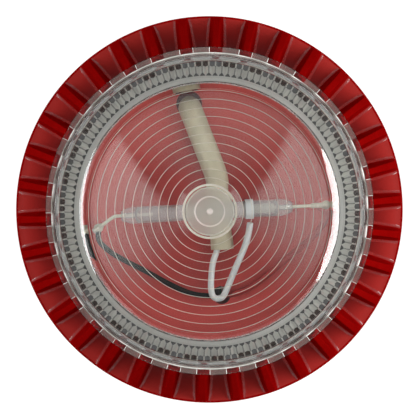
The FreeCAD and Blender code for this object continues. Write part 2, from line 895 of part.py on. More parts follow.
def crown_inner():
    """The inside of the lens's wall, at the prisms' top."""
    return lens_radius(prism_crown) - lens_wall - prism_depth / 2


def ring_profile():
    """The stepped underside of the lens's crown, as (radius, height) points from the middle outwards."""
    under = lens_top - lens_crown_thickness
    profile = [(0, under - bullseye_depth), (ring_first_radius, under)]
    room = crown_inner() - ring_edge - ring_first_radius
    for i in range(1, 1 + int(room / ring_pitch)):
        radius = ring_first_radius + i * ring_pitch
        profile += [(radius - ring_pitch, under - ring_step), (radius, under)]
    return profile


def lens():
    """One clear moulding: crown with stepped rings, tapered wall with prisms, and a flange with a block over each scoop."""
    crown = lens_radius(lens_top)
    shoulder = revolve([
        (0, lens_foot), (flange_radius, lens_foot), (flange_radius, flange_top),
        (lens_radius(flange_top), flange_top), (crown, lens_top), (0, lens_top),
    ])
    rim = [e for e in shoulder.Edges if e.Curve.TypeId == "Part::GeomCircle" and e.BoundBox.ZMin > lens_top - 0.01]
    shell = shoulder.makeFillet(lens_shoulder, rim)
    pad = sector(
        block_radius, block_radius - block_width, lens_foot, lens_foot + block_height,
        rib_pitch / 2, block_share * rib_pitch,
    )
    gate = post(0, 0, gate_radius, lens_top - gate_dish_depth - 1, lens_top - gate_dish_depth + gate_height)
    dish = post(0, 0, gate_dish_radius, lens_top - gate_dish_depth, lens_top)
    shell = shell.fuse(around(pad, rib_count)).cut(dish).fuse(gate)

    core = Part.makeLoft([prism_section(prism_foot), prism_section(prism_crown)], True, True)
    steps = ring_profile()
    last = steps[-1]
    edge = crown_inner()
    roof = revolve([(0, prism_crown - 1), (edge, prism_crown - 1), (edge, prism_crown), last] + steps[-2::-1])
    bore = post(0, 0, lens_inner, lens_foot, prism_foot)
    shell = shell.cut([core, roof, bore])

    lug_low = lens_foot + lens_lug_rise
    lug = sector(lens_inner + 1, lens_inner - lens_lug_depth, lug_low, lug_low + lens_lug_height, 0, lens_lug_angle)
    return shell.fuse(around(lug, lens_lug_count)).removeSplitter()


def all_parts():
    parts = {
        "mounting_base": mounting_base(),
        "wall_gasket": wall_gasket(),
        "base_seal": base_seal(),
        "terminal_block": terminal_block(),
        "terminal_screws": terminal_screws(),
        "contact_springs": contact_springs(),
        "sounder_body": sounder_body(),
        "lens_seal": lens_seal(),
        "strobe_deck": strobe_deck(),
        "sound_plate": sound_plate(),
        "piezo_plate": piezo_plate(),
        "piezo_ceramic": piezo_ceramic(),
        "resonator_cap": resonator_cap(),
        "main_board": main_board(),
        "contact_pads": contact_pads(),
        "board_screws": board_screws(),
        "storage_capacitor": storage_capacitor(),
        "trigger_transformer": trigger_transformer(),
        "step_up_transformer": step_up_transformer(),
        "trigger_capacitor": trigger_capacitor(),
        "driver_chip": driver_chip(),
        "tone_switch": tone_switch(),
        "volume_trimmer": volume_trimmer(),
        "volume_rotor": volume_rotor(),
        "flash_tube": flash_tube(),
        "anode_pin": anode_pin(),
        "cathode_pin": cathode_pin(),
        "solder_joints": solder_joints(),
        "trigger_band": trigger_band(),
        "cathode_lead": cathode_lead(),
        "anode_lead": anode_lead(),
        "trigger_sleeve": trigger_sleeve(),
        "trigger_lead": trigger_lead(),
        "lens": lens(),
    }
    for number, x in enumerate(lever_places(), start=1):
        parts[f"tone_lever_{number}"] = tone_lever(x)
    return parts


def main():
    os.makedirs("parts", exist_ok=True)
    for name, made in all_parts().items():
        solids = made if isinstance(made, list) else [made]
        shape = Part.makeCompound([s for m in solids for s in m.Solids])
        shape.exportStep(f"parts/{name}.step")


main()
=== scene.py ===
import bmesh
import bpy
import json
import math
from mathutils import Matrix, Vector


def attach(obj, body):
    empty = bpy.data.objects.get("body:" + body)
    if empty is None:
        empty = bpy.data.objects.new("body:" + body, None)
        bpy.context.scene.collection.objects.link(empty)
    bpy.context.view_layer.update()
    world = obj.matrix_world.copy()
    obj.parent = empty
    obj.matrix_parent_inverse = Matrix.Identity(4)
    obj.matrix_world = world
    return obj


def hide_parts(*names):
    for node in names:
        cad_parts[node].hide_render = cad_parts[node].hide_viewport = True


# Siren strobe: the looks of a red ribbed sounder head with a clear flash lens, on its wall base.

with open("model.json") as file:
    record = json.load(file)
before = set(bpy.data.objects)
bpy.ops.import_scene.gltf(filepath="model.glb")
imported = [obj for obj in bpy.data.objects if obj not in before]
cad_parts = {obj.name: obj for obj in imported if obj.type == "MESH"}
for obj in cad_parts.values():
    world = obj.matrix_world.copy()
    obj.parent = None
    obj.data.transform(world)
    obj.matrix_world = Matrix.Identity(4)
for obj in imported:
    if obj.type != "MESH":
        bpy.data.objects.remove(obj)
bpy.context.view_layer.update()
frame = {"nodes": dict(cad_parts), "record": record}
nodes = frame["nodes"]
MM = 0.001
MERGE_WITHIN = 2e-6     # metres

# Sizes in millimetres, angles in degrees where a name doesn't say otherwise

# The sounder body
RIM_RADIUS = 46.5
RIM_LOW_EDGE = 0.35
RIM_TOP_EDGE = 0.3
HEAD_FOOT = 12.3
HEAD_TOP = 60.0
CONE_FOOT = 15.5
SKIRT_INNER = 38.8
SKIRT_TOP = 22.9
SKIRT_EDGE = 0.3
ROOF_UNDER = 57.5
ROOF_RADIUS = 35.4
ROOF_EDGE = 0.2
ROOF_COLUMNS = 136
SHELF_BORE = 23.2
COLLAR_RADIUS = 33.4
COLLAR_INNER = 31.0
COLLAR_TOP = 65.0
COLLAR_EDGE = 0.25
SEAL_GROOVE_INNER = COLLAR_RADIUS + 0.3
SEAL_GROOVE_OUTER = COLLAR_RADIUS + 1.5
SEAL_GROOVE_LIP = COLLAR_RADIUS + 1.6
SEAL_GROOVE_DEPTH = 1.1

# Its ribs and the scoops between them
RIB_COUNT = 34
RIB_PITCH = 2 * math.pi / RIB_COUNT     # radians
RIB_FOOT_RADIUS = 46.0
RIB_TOP_RADIUS = 37.0
RIB_SHOULDER = 37.2             # radius of the last point on a rib's slope
RIB_BACKS = ((35.6, 0.7), (34.3, 0.1))  # radii over the sill, and how far its foot stands out of the skin
RIB_CREST_GAP = 0.06            # under the head's top
RIB_CREST_WIDTHS = (1.7, 1.2)   # along the rib's top line, at the rim and under the lens
RIB_ROOT_WIDTHS = (2.9, 3.6)    # where its sides meet the scoops
RIB_HEEL = 2.0                  # height of the rib's end on the rim
RIB_EDGE = 0.28                 # rounding along a rib's top edges
ROOT_FILLET = 0.75              # between a rib's side and the scoop
ROUND_LEAST = 0.05              # a rounding where the rib runs out
ROUND_GROWTH = 0.3              # what it gains with the rib's height
ROUND_MOST = 0.4                # the largest share of the height that it takes
ROUND_MIDDLE = 0.29             # from a corner in to the middle of its rounding
SCOOP_SKIN = 1.8
SCOOP_FLARE = 8.5
SCOOP_ROWS = 16
THROAT_HEIGHT = 47.0
SILL_HEIGHT = 49.5
SILL_EDGE = 0.25
SKIN_HEIGHTS = (48.6, 47.0, 43.0, 38.0, 33.0, 28.0, 25.0)   # down the inside of the scoops' skin
RIB_SIDE_MARGIN = 0.12          # how far the ribs' own finish runs past their sides
RIM_BAND = (0.45, 0.4)          # in and down from the rim's top edge, with the ribs' finish

# The lens
LENS_FOOT = 60.3
LENS_TOP = 80.0
LENS_FOOT_RADIUS = 35.9
LENS_CROWN_RADIUS = 30.1
LENS_INNER = 33.7
LENS_WALL = 2.2
WALL_MIDDLE = 72.0
FLANGE_RADIUS = 37.75
FLANGE_TOP = 62.3
FLANGE_EDGE = 0.15
FOOT_EDGE = 0.2
FOOT_FILLET = 0.8
FILLET_RADII = (LENS_FOOT_RADIUS - 0.1, LENS_FOOT_RADIUS + 0.65)    # where the fillet's painted reflection lines are
FILLET_HEIGHTS = (FLANGE_TOP - 0.01, FLANGE_TOP + 0.06, FLANGE_TOP + 0.7)
FOOT_BAND_LOW = 63.6            # the pale band under the prisms, painted light
FOOT_BAND_INNER = 30.0
BLOCK_TOP = 64.3
BLOCK_SHARE = 0.57              # of the ribs' pitch
BLOCK_EDGE = 0.12
BLOCK_BACK = (FLANGE_RADIUS - 1.4, FLANGE_RADIUS - 0.9)     # radii round its side next to the wall
CROWN_FLAT = 27.8
CROWN_UNDER = 77.6
CROWN_RADII = (12, 20, 26, CROWN_FLAT - 0.12, CROWN_FLAT)
BEVEL_OUTER = 29.5
BEVEL_SLOPES = (21.5, 22.6, 23.7, 24.8, 25.9, 27)   # outwards from the crown
SHOULDER_START = 63
ROUND_STEPS = 8
GATE_NUB = ((0, 0.05), (0.35, 0.08), (0.55, 0.2), (0.65, 0.35))     # radii, and depths under the crown
GATE_DISH = ((3.2, 0.35), (3.35, 0.2), (3.5, 0))
GATE_NUB_TOP = 0.62             # radius of its satin top
GATE_DEPTH = 0.4                # the gate's finish is above this depth
UNDER_CORNER = ((28.9, 0.25), (28.65, 0))           # radii, and depths under the crown's underside
BOSS_EDGE = 5.55
BOSS_FACE = 5.3
UNDER_BOSS = ((6.25, 0), (6.05, 0.3), (5.75, 0.5), (BOSS_EDGE, 0.5), (BOSS_FACE, 0.25), (3, 0.5), (0, 0.6))
RING_FIRST = 7.55
RING_PITCH = 1.985
RING_COUNT = 11
RING_EDGE = 0.12
RING_DEPTH = 0.17
RING_DEEPER = 0.008             # from each ring to the next
EDGE_SATIN_TOP = 76.7
EDGE_SATIN_INNER = 28.66

# Its prisms
PRISMS = 4 * RIB_COUNT
PRISM_FOOT = 65.0
PRISM_STEP = 68.3               # where a prism's foot ends
PRISM_MIDDLE = 71.0
PRISM_TIP = 73.7                # where a prism begins to taper to its tip
PRISM_CROWN = 75.5
PRISM_ROOF = 76.6
PRISM_DEPTH = 0.8
PRISM_ZONE = 28.0               # the prisms are outside this radius, the rings inside it
PRISM_LEDGE = 0.05
PRISM_SPREAD = 0.58             # how far a prism's sides move outwards, in columns of points
TIP_TAPER = 0.75                # and its tip's inwards
COLUMNS = 4 * PRISMS            # of points round the lens
COLUMN_ANGLE = 2 * math.pi / COLUMNS    # radians
RIB_COLUMNS = COLUMNS // RIB_COUNT
BLOCK_HALF = BLOCK_SHARE * RIB_COLUMNS / 2      # in columns
BLOCK_SIDE = 4                  # the column that a block's side is moved from

# The flash tube and its wiring
DECK_TOP = 62.0
TUBE_HEIGHT = 70.5
TUBE_RADIUS = 2.0
TUBE_BORE = 1.55
TUBE_LEFT = -20.7
TUBE_RIGHT = 19.3
TUBE_TIP = 0.45                 # radius of the hole for a pin
TUBE_END = ((0.0, 1.0), (0.25, 1.3), (0.8, 1.5), (1.6, 1.75), (2.4, 1.97), (3.0, TUBE_RADIUS))
TUBE_END_INSIDE = ((4.4, TUBE_BORE), (3.8, 1.35), (3.4, 0.9), (3.2, TUBE_TIP))
LEFT_POST = (-26.2, -2.6)
RIGHT_POST = (27.2, 0.0)
PIN_KINK = 1.6                  # from the tube's left end to the bend of its pin
DUCT_Y = -20.55
DUCT_HEIGHTS = (DECK_TOP + 1.9, 50, 26)

# Places over the deck, with the rise from the deck to the tube's axis as a share
BLACK_LEAD_RADIUS = 0.62
BLACK_LEAD_START = (0.1, -0.9, 0)
BLACK_LEAD_PLACES = ((-26.6, -5.2, 0.95), (-24.2, -8.2, 0.7), (-21, -10.6, 0.45), (-16, -13.6, 0.3),
                     (-10.2, -17.4, 0.2), (-5.2, -19.9, 0.18), (-1.5, -20.4, 0.2))
BLACK_LEAD_DUCT = 0.8
RED_LEAD_RADIUS = 0.8
RED_LEAD_START = (0, -1.25, 0)
RED_LEAD_PLACES = ((27.2, -4.6, 1), (16.2, -13.6, 0.35), (8.5, -19.4, 0.17))
RED_LEAD_DUCT = 2.7
HAIRPIN_RADIUS = 0.75
HAIRPIN_PLACES = ((1.8, -6.5, 0.39), (1.35, -9.8, 0.39), (0.1, -12.2, 0.42), (-0.45, -15.5, 0.47),
                  (-0.75, -18.6, 0.53), (-0.3, -20.7, 0.54), (1.6, -21, 0.55), (2.7, -19.6, 0.57),
                  (5.5, -13.6, 0.72), (8.9, -7, 0.9), (9.4, -3.3, 1))
SLEEVE_RADIUS = 2.8
SLEEVE_WALL = 0.9
SLEEVE_HEIGHT = 65.3
SLEEVE_BEND = 4.0               # the length over which it turns
CRIMP_END = 1.3
CRIMP_HALF = ((-CRIMP_END, 0.42), (-1.25, 0.62), (-0.8, 0.66), (-0.6, 0.56), (-0.35, 0.56), (-0.15, 0.66))
CRIMP_COLUMNS = 20
SOLDER_DAB = ((0, -1.2), (1.25, -1.2), (1.15, -1.0), (0.8, -0.75), (0.5, -0.5), (0, -0.45))
RIGHT_CRIMP_INSET = 2.3         # from the right post back along the pin

# Places of the finishes in the lists that the body and the lens are given
PLAIN, RIB, ROOT = range(3)
(CLEAR, PRISM_FACE, PRISM_VALLEY, BOSS, BLOCK_FACE, EDGE, GATE, FOOT, RING, FILLET, PRISM_LINE,
 PRISM_END) = range(12)


# Modelling helpers

def deselect():
    if bpy.context.object and bpy.context.object.mode != "OBJECT":
        bpy.ops.object.mode_set(mode="OBJECT")
    bpy.ops.object.select_all(action="DESELECT")


def pick(piece):
    """Makes one piece the only one selected."""
    deselect()
    piece.select_set(True)
    bpy.context.view_layer.objects.active = piece


def drawn_line(name, points):
    """A chain of edges in edit mode, drawn point after point from a single vertex."""
    deselect()
    bpy.ops.mesh.primitive_plane_add(size=MM, location=(0, 0, 0))
    piece = bpy.context.object
    piece.name = name
    bpy.ops.object.mode_set(mode="EDIT")
    bpy.ops.mesh.select_all(action="SELECT")
    bpy.ops.mesh.merge(type="CENTER")
    places = [Vector(p) * MM for p in points]
    bpy.ops.transform.translate(value=places[0])
    for start, end in zip(places, places[1:]):
        bpy.ops.mesh.extrude_region_move(TRANSFORM_OT_translate={"value": end - start})
    return piece


def close_mesh():
    """Merges doubles, turns the faces outwards and leaves edit mode."""
    bpy.ops.mesh.select_all(action="SELECT")
    bpy.ops.mesh.remove_doubles(threshold=MERGE_WITHIN)
    bpy.ops.mesh.normals_make_consistent(inside=False)
    bpy.ops.object.mode_set(mode="OBJECT")


def spun(name, profile, steps):
    """A piece turned about the axis from (radius, height) points, left in edit mode."""
    piece = drawn_line(name, [(r, 0, z) for r, z in profile])
    bpy.ops.mesh.select_all(action="SELECT")
    bpy.ops.mesh.spin(steps=steps, angle=2 * math.pi, center=(0, 0, 0), axis=(0, 0, 1))
    bpy.ops.mesh.select_all(action="SELECT")
    bpy.ops.mesh.remove_doubles(threshold=MERGE_WITHIN)
    return piece


def turned(name, profile, steps):
    """A finished turned piece."""
    piece = spun(name, profile, steps)
    close_mesh()
    return piece


def arc(middle, radius, start, end, steps):
    """(radius, height) points on an arc."""
    turns = [math.radians(start + (end - start) * i / steps) for i in range(steps + 1)]
    return [(middle[0] + radius * math.cos(a), middle[1] + radius * math.sin(a)) for a in turns]


def joined(name, pieces):
    deselect()
    for piece in pieces:
        piece.select_set(True)
    bpy.context.view_layer.objects.active = pieces[0]
    bpy.ops.object.join()
    pieces[0].name = name
    return pieces[0]


def smooth(piece, angle):
    pick(piece)
    bpy.ops.object.shade_smooth_by_angle(angle=math.radians(angle))


def selected_in(mesh, wanted):
    """Selects the vertices that the test wants, and what lies between them."""
    for v in mesh.verts:
        v.select = wanted(v)
    mesh.select_flush(True)
    mesh.select_flush(False)


def place_round(point):
    """A point's radius and height, and its angle in radians."""
    return math.hypot(point.x, point.y) / MM, point.z / MM, math.atan2(point.y, point.x)


def finished(piece, body, slot, materials, *stands_for):
    """Gives a piece its finishes and its body, and hides the solids that it stands for; the slot is not used.
    """
    piece.data.materials.clear()
    for material in materials if isinstance(materials, list) else [materials]:
        piece.data.materials.append(material)
    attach(piece, body)
    if stands_for:
        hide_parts(*stands_for)


# The ribbed sounder body

def along_rib(r):
    return (RIB_FOOT_RADIUS - r) / (RIB_FOOT_RADIUS - RIB_TOP_RADIUS)


def rib_top(r):
    heel = CONE_FOOT + RIB_HEEL
    return heel + along_rib(r) * (HEAD_TOP - heel)


def scoop_floor(r):
    share = min(max((RIB_FOOT_RADIUS - r) / SCOOP_FLARE, 0.0), 1.0)
    return THROAT_HEIGHT - (THROAT_HEIGHT - CONE_FOOT) * math.sqrt(1 - share ** 2)


def rib_half_width(r, z):
    """Half a rib's width at a place on its side, from its top line to its root."""
    crest, root = [
        (foot + along_rib(r) * (top - foot)) / 2
        for foot, top in (RIB_CREST_WIDTHS, RIB_ROOT_WIDTHS)]
    deep = (rib_top(r) - z) / (rib_top(r) - scoop_floor(r))
    return crest + (root - crest) * min(max(deep, 0.0), 1.0)


def half_pitch_row(top, floor):
    """One row of points over half a pitch, from a rib's middle to the scoop's middle.

    top and floor are (radius, height) of the rib's top line and of the scoop's floor."""
    high = max(top[1] - floor[1], 0.0)
    edge = min(RIB_EDGE, ROUND_LEAST + ROUND_GROWTH * high)
    root = min(ROOT_FILLET, ROUND_LEAST + ROUND_GROWTH * high)

    def side(share):
        r = floor[0] + (top[0] - floor[0]) * share
        z = floor[1] + (top[1] - floor[1]) * share
        return r, z

    has_side = high > 0.01
    under_edge = side(1 - min(edge / high, ROUND_MOST) if has_side else 1)
    over_root = side(min(root / high, ROUND_MOST) if has_side else 0)
    wide_top = rib_half_width(*under_edge)
    wide_root = max(rib_half_width(*over_root), wide_top)
    foot = max(rib_half_width(*floor), wide_top)
    drop = top[1] - under_edge[1]
    points = [(top[0], 0.0, top[1]), (top[0], wide_top - edge, top[1])]
    points.append((top[0], wide_top - ROUND_MIDDLE * edge, top[1] - ROUND_MIDDLE * drop))
    points.append((under_edge[0], wide_top, under_edge[1]))
    points.append((over_root[0], wide_root, over_root[1]))
    lift = over_root[1] - floor[1]
    for turn in (30, 60):
        a = math.radians(turn)
        points.append((floor[0], foot + root * (1 - math.cos(a)), floor[1] + lift * (1 - math.sin(a))))
    start = (foot + root) / floor[0]
    for share in (0.0, 0.33, 0.66, 1.0):
        a = start + (RIB_PITCH / 2 - start) * share
        points.append((floor[0] * math.cos(a), floor[0] * math.sin(a), floor[1]))
    return points


def plain_row(r, z, like):
    """A row at one radius and height, at the angles of another row."""
    angles = [math.atan2(y, x) for x, y, _ in like]
    return [(r * math.cos(a), r * math.sin(a), z) for a in angles]


def body_rows():
    """The rows of the body's skin: up the scoops and ribs, over the sill, and down the inside to the rim."""
    rows = []
    for i in range(SCOOP_ROWS + 1):
        a = math.pi / 2 * i / SCOOP_ROWS
        r = RIB_FOOT_RADIUS - SCOOP_FLARE * math.sin(a)
        z = THROAT_HEIGHT - (THROAT_HEIGHT - CONE_FOOT) * math.cos(a)
        rows.append(half_pitch_row((r, rib_top(r)), (r, z)))
    throat = RIB_FOOT_RADIUS - SCOOP_FLARE
    crest = HEAD_TOP - RIB_CREST_GAP
    rows.append(half_pitch_row((RIB_SHOULDER, rib_top(RIB_SHOULDER)), (throat, SILL_HEIGHT - SILL_EDGE)))
    rows.append(half_pitch_row((RIB_TOP_RADIUS, crest), (throat - SILL_EDGE, SILL_HEIGHT)))
    for r, out in RIB_BACKS:
        rows.append(half_pitch_row((r, crest), (throat - SCOOP_SKIN + out, SILL_HEIGHT)))
    like = rows[-1]
    for z in SKIN_HEIGHTS:
        drop = max(0.0, (THROAT_HEIGHT - z) / (THROAT_HEIGHT - CONE_FOOT))
        r = RIB_FOOT_RADIUS - SCOOP_FLARE * math.sqrt(1 - drop ** 2) - SCOOP_SKIN
        rows.append(plain_row(min(r, SKIRT_INNER), z, like))
    rim = [(SKIRT_INNER, SKIRT_TOP), (SKIRT_INNER, HEAD_FOOT + SKIRT_EDGE)]
    rim.append((SKIRT_INNER + SKIRT_EDGE, HEAD_FOOT))
    rim += arc((RIM_RADIUS - RIM_LOW_EDGE, HEAD_FOOT + RIM_LOW_EDGE), RIM_LOW_EDGE, -90, 0, 3)
    rim += arc((RIM_RADIUS - RIM_TOP_EDGE, CONE_FOOT - RIM_TOP_EDGE), RIM_TOP_EDGE, 0, 90, 3)
    rows += [plain_row(r, z, rows[0]) for r, z in rim]
    return rows + rows[:1]


def pulled_rows(name, rows):
    """Draws the first row, then extrudes it row by row and moves each new point to its place."""
    piece = drawn_line(name, rows[0])
    bpy.ops.mesh.select_all(action="SELECT")
    for row in rows[1:]:
        bpy.ops.mesh.extrude_region_move()
        mesh = bmesh.from_edit_mesh(piece.data)
        fresh = sorted((v for v in mesh.verts if v.select), key=lambda v: math.atan2(v.co.y, v.co.x))
        for vertex, place in zip(fresh, row):
            for v in fresh:
                v.select = v is vertex
            bpy.ops.transform.translate(value=Vector(place) * MM - vertex.co)
        selected_in(mesh, lambda v: v in fresh)
        bmesh.update_edit_mesh(piece.data)
    bpy.ops.object.mode_set(mode="OBJECT")
    return piece


def repeated_round(piece, count):
    """Mirrors half a pitch across its rib, then sets the pitch round the axis."""
    pick(piece)
    mirror = piece.modifiers.new("other_half", "MIRROR")
    mirror.use_axis = (False, True, False)
    mirror.merge_threshold = MERGE_WITHIN
    bpy.ops.object.modifier_apply(modifier=mirror.name)
    deselect()
    bpy.ops.object.empty_add(rotation=(0, 0, 2 * math.pi / count))
    turn = bpy.context.object
    pick(piece)
    array = piece.modifiers.new("round", "ARRAY")
    array.count = count
    array.use_relative_offset = False
    array.use_object_offset = True
    array.offset_object = turn
    bpy.ops.object.modifier_apply(modifier=array.name)
    bpy.data.objects.remove(turn)
    bpy.ops.object.mode_set(mode="EDIT")
    close_mesh()


def body_finish(face):
    """Which of the body's finishes a face has: the ribs and the rim's edge, the ribs' roots, or the rest."""
    r, z, angle = place_round(face.center)
    across = r * math.sin(angle - RIB_PITCH * round(angle / RIB_PITCH))
    past_rib = abs(across) - rib_half_width(r, z)
    if r > RIM_RADIUS - RIM_BAND[0] and abs(z - CONE_FOOT) < RIM_BAND[1]:
        return RIB
    if z > CONE_FOOT + 0.1 and r > RIB_TOP_RADIUS - 1 and past_rib < ROOT_FILLET:
        return RIB if past_rib < RIB_SIDE_MARGIN else ROOT
    return PLAIN


def sounder_body(materials):
    skin = pulled_rows("ribbed_skin", body_rows())
    repeated_round(skin, RIB_COUNT)
    groove_floor = HEAD_TOP - SEAL_GROOVE_DEPTH
    roof = turned("roof", [
        (SHELF_BORE, ROOF_UNDER),
        (ROOF_RADIUS, ROOF_UNDER),
        (ROOF_RADIUS, HEAD_TOP - ROOF_EDGE),
        (ROOF_RADIUS - ROOF_EDGE, HEAD_TOP),
        (SEAL_GROOVE_LIP, HEAD_TOP),
        (SEAL_GROOVE_OUTER, groove_floor),
        (SEAL_GROOVE_INNER, groove_floor),
        (SEAL_GROOVE_INNER, HEAD_TOP),
        (COLLAR_RADIUS, HEAD_TOP),
        (COLLAR_RADIUS, COLLAR_TOP - COLLAR_EDGE),
        (COLLAR_RADIUS - COLLAR_EDGE, COLLAR_TOP),
        (COLLAR_INNER + COLLAR_EDGE, COLLAR_TOP),
        (COLLAR_INNER, COLLAR_TOP - COLLAR_EDGE),
        (COLLAR_INNER, HEAD_TOP),
        (SHELF_BORE, HEAD_TOP),
        (SHELF_BORE, ROOF_UNDER),
    ], ROOF_COLUMNS)
    piece = joined("ribbed_sounder_body", [skin, roof])
    smooth(piece, 38)
    finished(piece, "head", "red_moulding", materials, "sounder_body")
    for face in piece.data.polygons:
        face.material_index = body_finish(face)


# The clear lens

def wall_radius(z):
    share = (z - FLANGE_TOP) / (LENS_TOP - FLANGE_TOP)
    return LENS_FOOT_RADIUS + share * (LENS_CROWN_RADIUS - LENS_FOOT_RADIUS)


def crown_section():
    """From the gate mark over the crown, its bevel and its shoulder."""
    section = [(r, LENS_TOP - deep) for r, deep in GATE_NUB + GATE_DISH]
    section += [(r, LENS_TOP) for r in CROWN_RADII]
    z = LENS_TOP
    stretch = (BEVEL_OUTER - CROWN_FLAT) / len(BEVEL_SLOPES)
    for i, slope in enumerate(BEVEL_SLOPES):
        z -= stretch * math.tan(math.radians(slope))
        section.append((CROWN_FLAT + (i + 1) * stretch, z))
    steep = math.atan2(LENS_FOOT_RADIUS - LENS_CROWN_RADIUS, LENS_TOP - FLANGE_TOP)
    start = math.radians(SHOULDER_START)
    gain = math.cos(steep) - math.cos(start) - math.tan(steep) * (math.sin(start) - math.sin(steep))
    shoulder = (wall_radius(z) - BEVEL_OUTER) / gain
    middle = (BEVEL_OUTER - shoulder * math.cos(start), z - shoulder * math.sin(start))
    return section + arc(middle, shoulder, SHOULDER_START, math.degrees(steep), ROUND_STEPS)[1:]


def foot_section():
    """Down the outer wall, round the flange and up to the prisms."""
    section = [(wall_radius(z), z) for z in (75, WALL_MIDDLE, 68, BLOCK_TOP)]
    steep = math.atan2(LENS_FOOT_RADIUS - LENS_CROWN_RADIUS, LENS_TOP - FLANGE_TOP)
    reach = FOOT_FILLET * (1 - math.sin(steep)) / math.cos(steep)
    middle = (LENS_FOOT_RADIUS + reach, FLANGE_TOP + FOOT_FILLET)
    section += arc(middle, FOOT_FILLET, 180 + math.degrees(steep), 270, ROUND_STEPS)
    return section + [
        (FLANGE_RADIUS - FLANGE_EDGE, FLANGE_TOP),
        (FLANGE_RADIUS, FLANGE_TOP - FLANGE_EDGE),
        (FLANGE_RADIUS, LENS_FOOT + FLANGE_EDGE),
        (FLANGE_RADIUS - FLANGE_EDGE, LENS_FOOT),
        (LENS_INNER + FOOT_EDGE, LENS_FOOT),
        (LENS_INNER, LENS_FOOT + FOOT_EDGE),
        (LENS_INNER, FOOT_BAND_LOW),
        (LENS_INNER, PRISM_FOOT - FOOT_EDGE),
    ]


def inner_section():
    """Up the prisms, and in over the stepped rings to the boss."""
    heights = (PRISM_FOOT, PRISM_FOOT + PRISM_LEDGE, PRISM_STEP, PRISM_STEP + PRISM_LEDGE,
               PRISM_MIDDLE, PRISM_TIP, PRISM_CROWN, PRISM_ROOF)
    section = [(wall_radius(z) - LENS_WALL, z) for z in heights]
    section += [(r, CROWN_UNDER - deep) for r, deep in UNDER_CORNER]
    for i in reversed(range(RING_COUNT)):
        r = RING_FIRST + i * RING_PITCH
        deep = RING_DEPTH + RING_DEEPER * i
        for share in (0, 0.5, 1):
            section.append((r + RING_EDGE * (1 - share), CROWN_UNDER - deep * share))
    return section + [(r, CROWN_UNDER - deep) for r, deep in UNDER_BOSS]


def turn_points(mesh, wanted, angle):
    selected_in(mesh, wanted)
    bpy.ops.transform.rotate(value=-angle, orient_axis="Z", center_override=(0, 0, 0))


def shape_prisms(mesh, column):
    """Pulls every fourth column of the inner wall in to a ridge, widens the ridges and tapers their tips."""
    low = PRISM_FOOT + 0.02
    tip = PRISM_TIP + 0.1
    high = PRISM_CROWN + 0.02

    def on_inner_wall(v, least, most):
        r, z, _ = place_round(v.co)
        return least < z < most and r < wall_radius(z) - LENS_WALL / 2

    inwards = 1 - PRISM_DEPTH / (wall_radius(WALL_MIDDLE) - LENS_WALL)
    selected_in(mesh, lambda v: column[v] % 4 == 2 and on_inner_wall(v, low, tip))
    bpy.ops.transform.resize(value=(inwards, inwards, 1), center_override=(0, 0, 0))
    for place, way in ((1, -1), (3, 1)):
        for least, most, columns in ((low, tip, PRISM_SPREAD), (tip, high, -TIP_TAPER)):
            angle = way * columns * COLUMN_ANGLE
            turn_points(mesh, lambda v: column[v] % 4 == place and on_inner_wall(v, least, most), angle)


def raise_blocks(piece, mesh, column):
    """Raises a clear block from the flange over each scoop, and rounds its upper edges."""
    def at_foot(v):
        r, z, _ = place_round(v.co)
        return z < BLOCK_TOP + 0.1 and r > LENS_INNER + 1

    for way in (-1, 1):
        place = RIB_COLUMNS // 2 + way * BLOCK_SIDE
        nudge = way * (BLOCK_HALF - BLOCK_SIDE) * COLUMN_ANGLE
        turn_points(mesh, lambda v: column[v] % RIB_COLUMNS == place and at_foot(v), nudge)

    bpy.ops.mesh.select_all(action="DESELECT")
    for f in mesh.faces:
        r, z, angle = place_round(f.calc_center_median())
        over_scoop = abs((angle / COLUMN_ANGLE) % RIB_COLUMNS - RIB_COLUMNS / 2) < BLOCK_HALF
        on_flange = abs(z - FLANGE_TOP) < 0.02 and r > FLANGE_RADIUS - 1 and abs(f.normal.z) > 0.9
        if over_scoop and on_flange:
            f.select = True
    mesh.select_flush_mode()
    bmesh.update_edit_mesh(piece.data)
    rise = (0, 0, (BLOCK_TOP - FLANGE_TOP) * MM)
    bpy.ops.mesh.extrude_region_move(TRANSFORM_OT_translate={"value": rise})
    mesh = bmesh.from_edit_mesh(piece.data)
    for e in mesh.edges:
        e.select = False
    for e in mesh.edges:
        ends = [place_round(v.co) for v in e.verts]
        high = all(abs(z - BLOCK_TOP) < 0.02 for _, z, _ in ends)
        outer = all(r > wall_radius(BLOCK_TOP) + 0.2 for r, _, _ in ends)
        e.select = high and outer and e.calc_face_angle(0) > 0.5
    mesh.select_flush_mode()
    bmesh.update_edit_mesh(piece.data)
    bpy.ops.mesh.bevel(offset=BLOCK_EDGE * MM, segments=2, affect="EDGES")


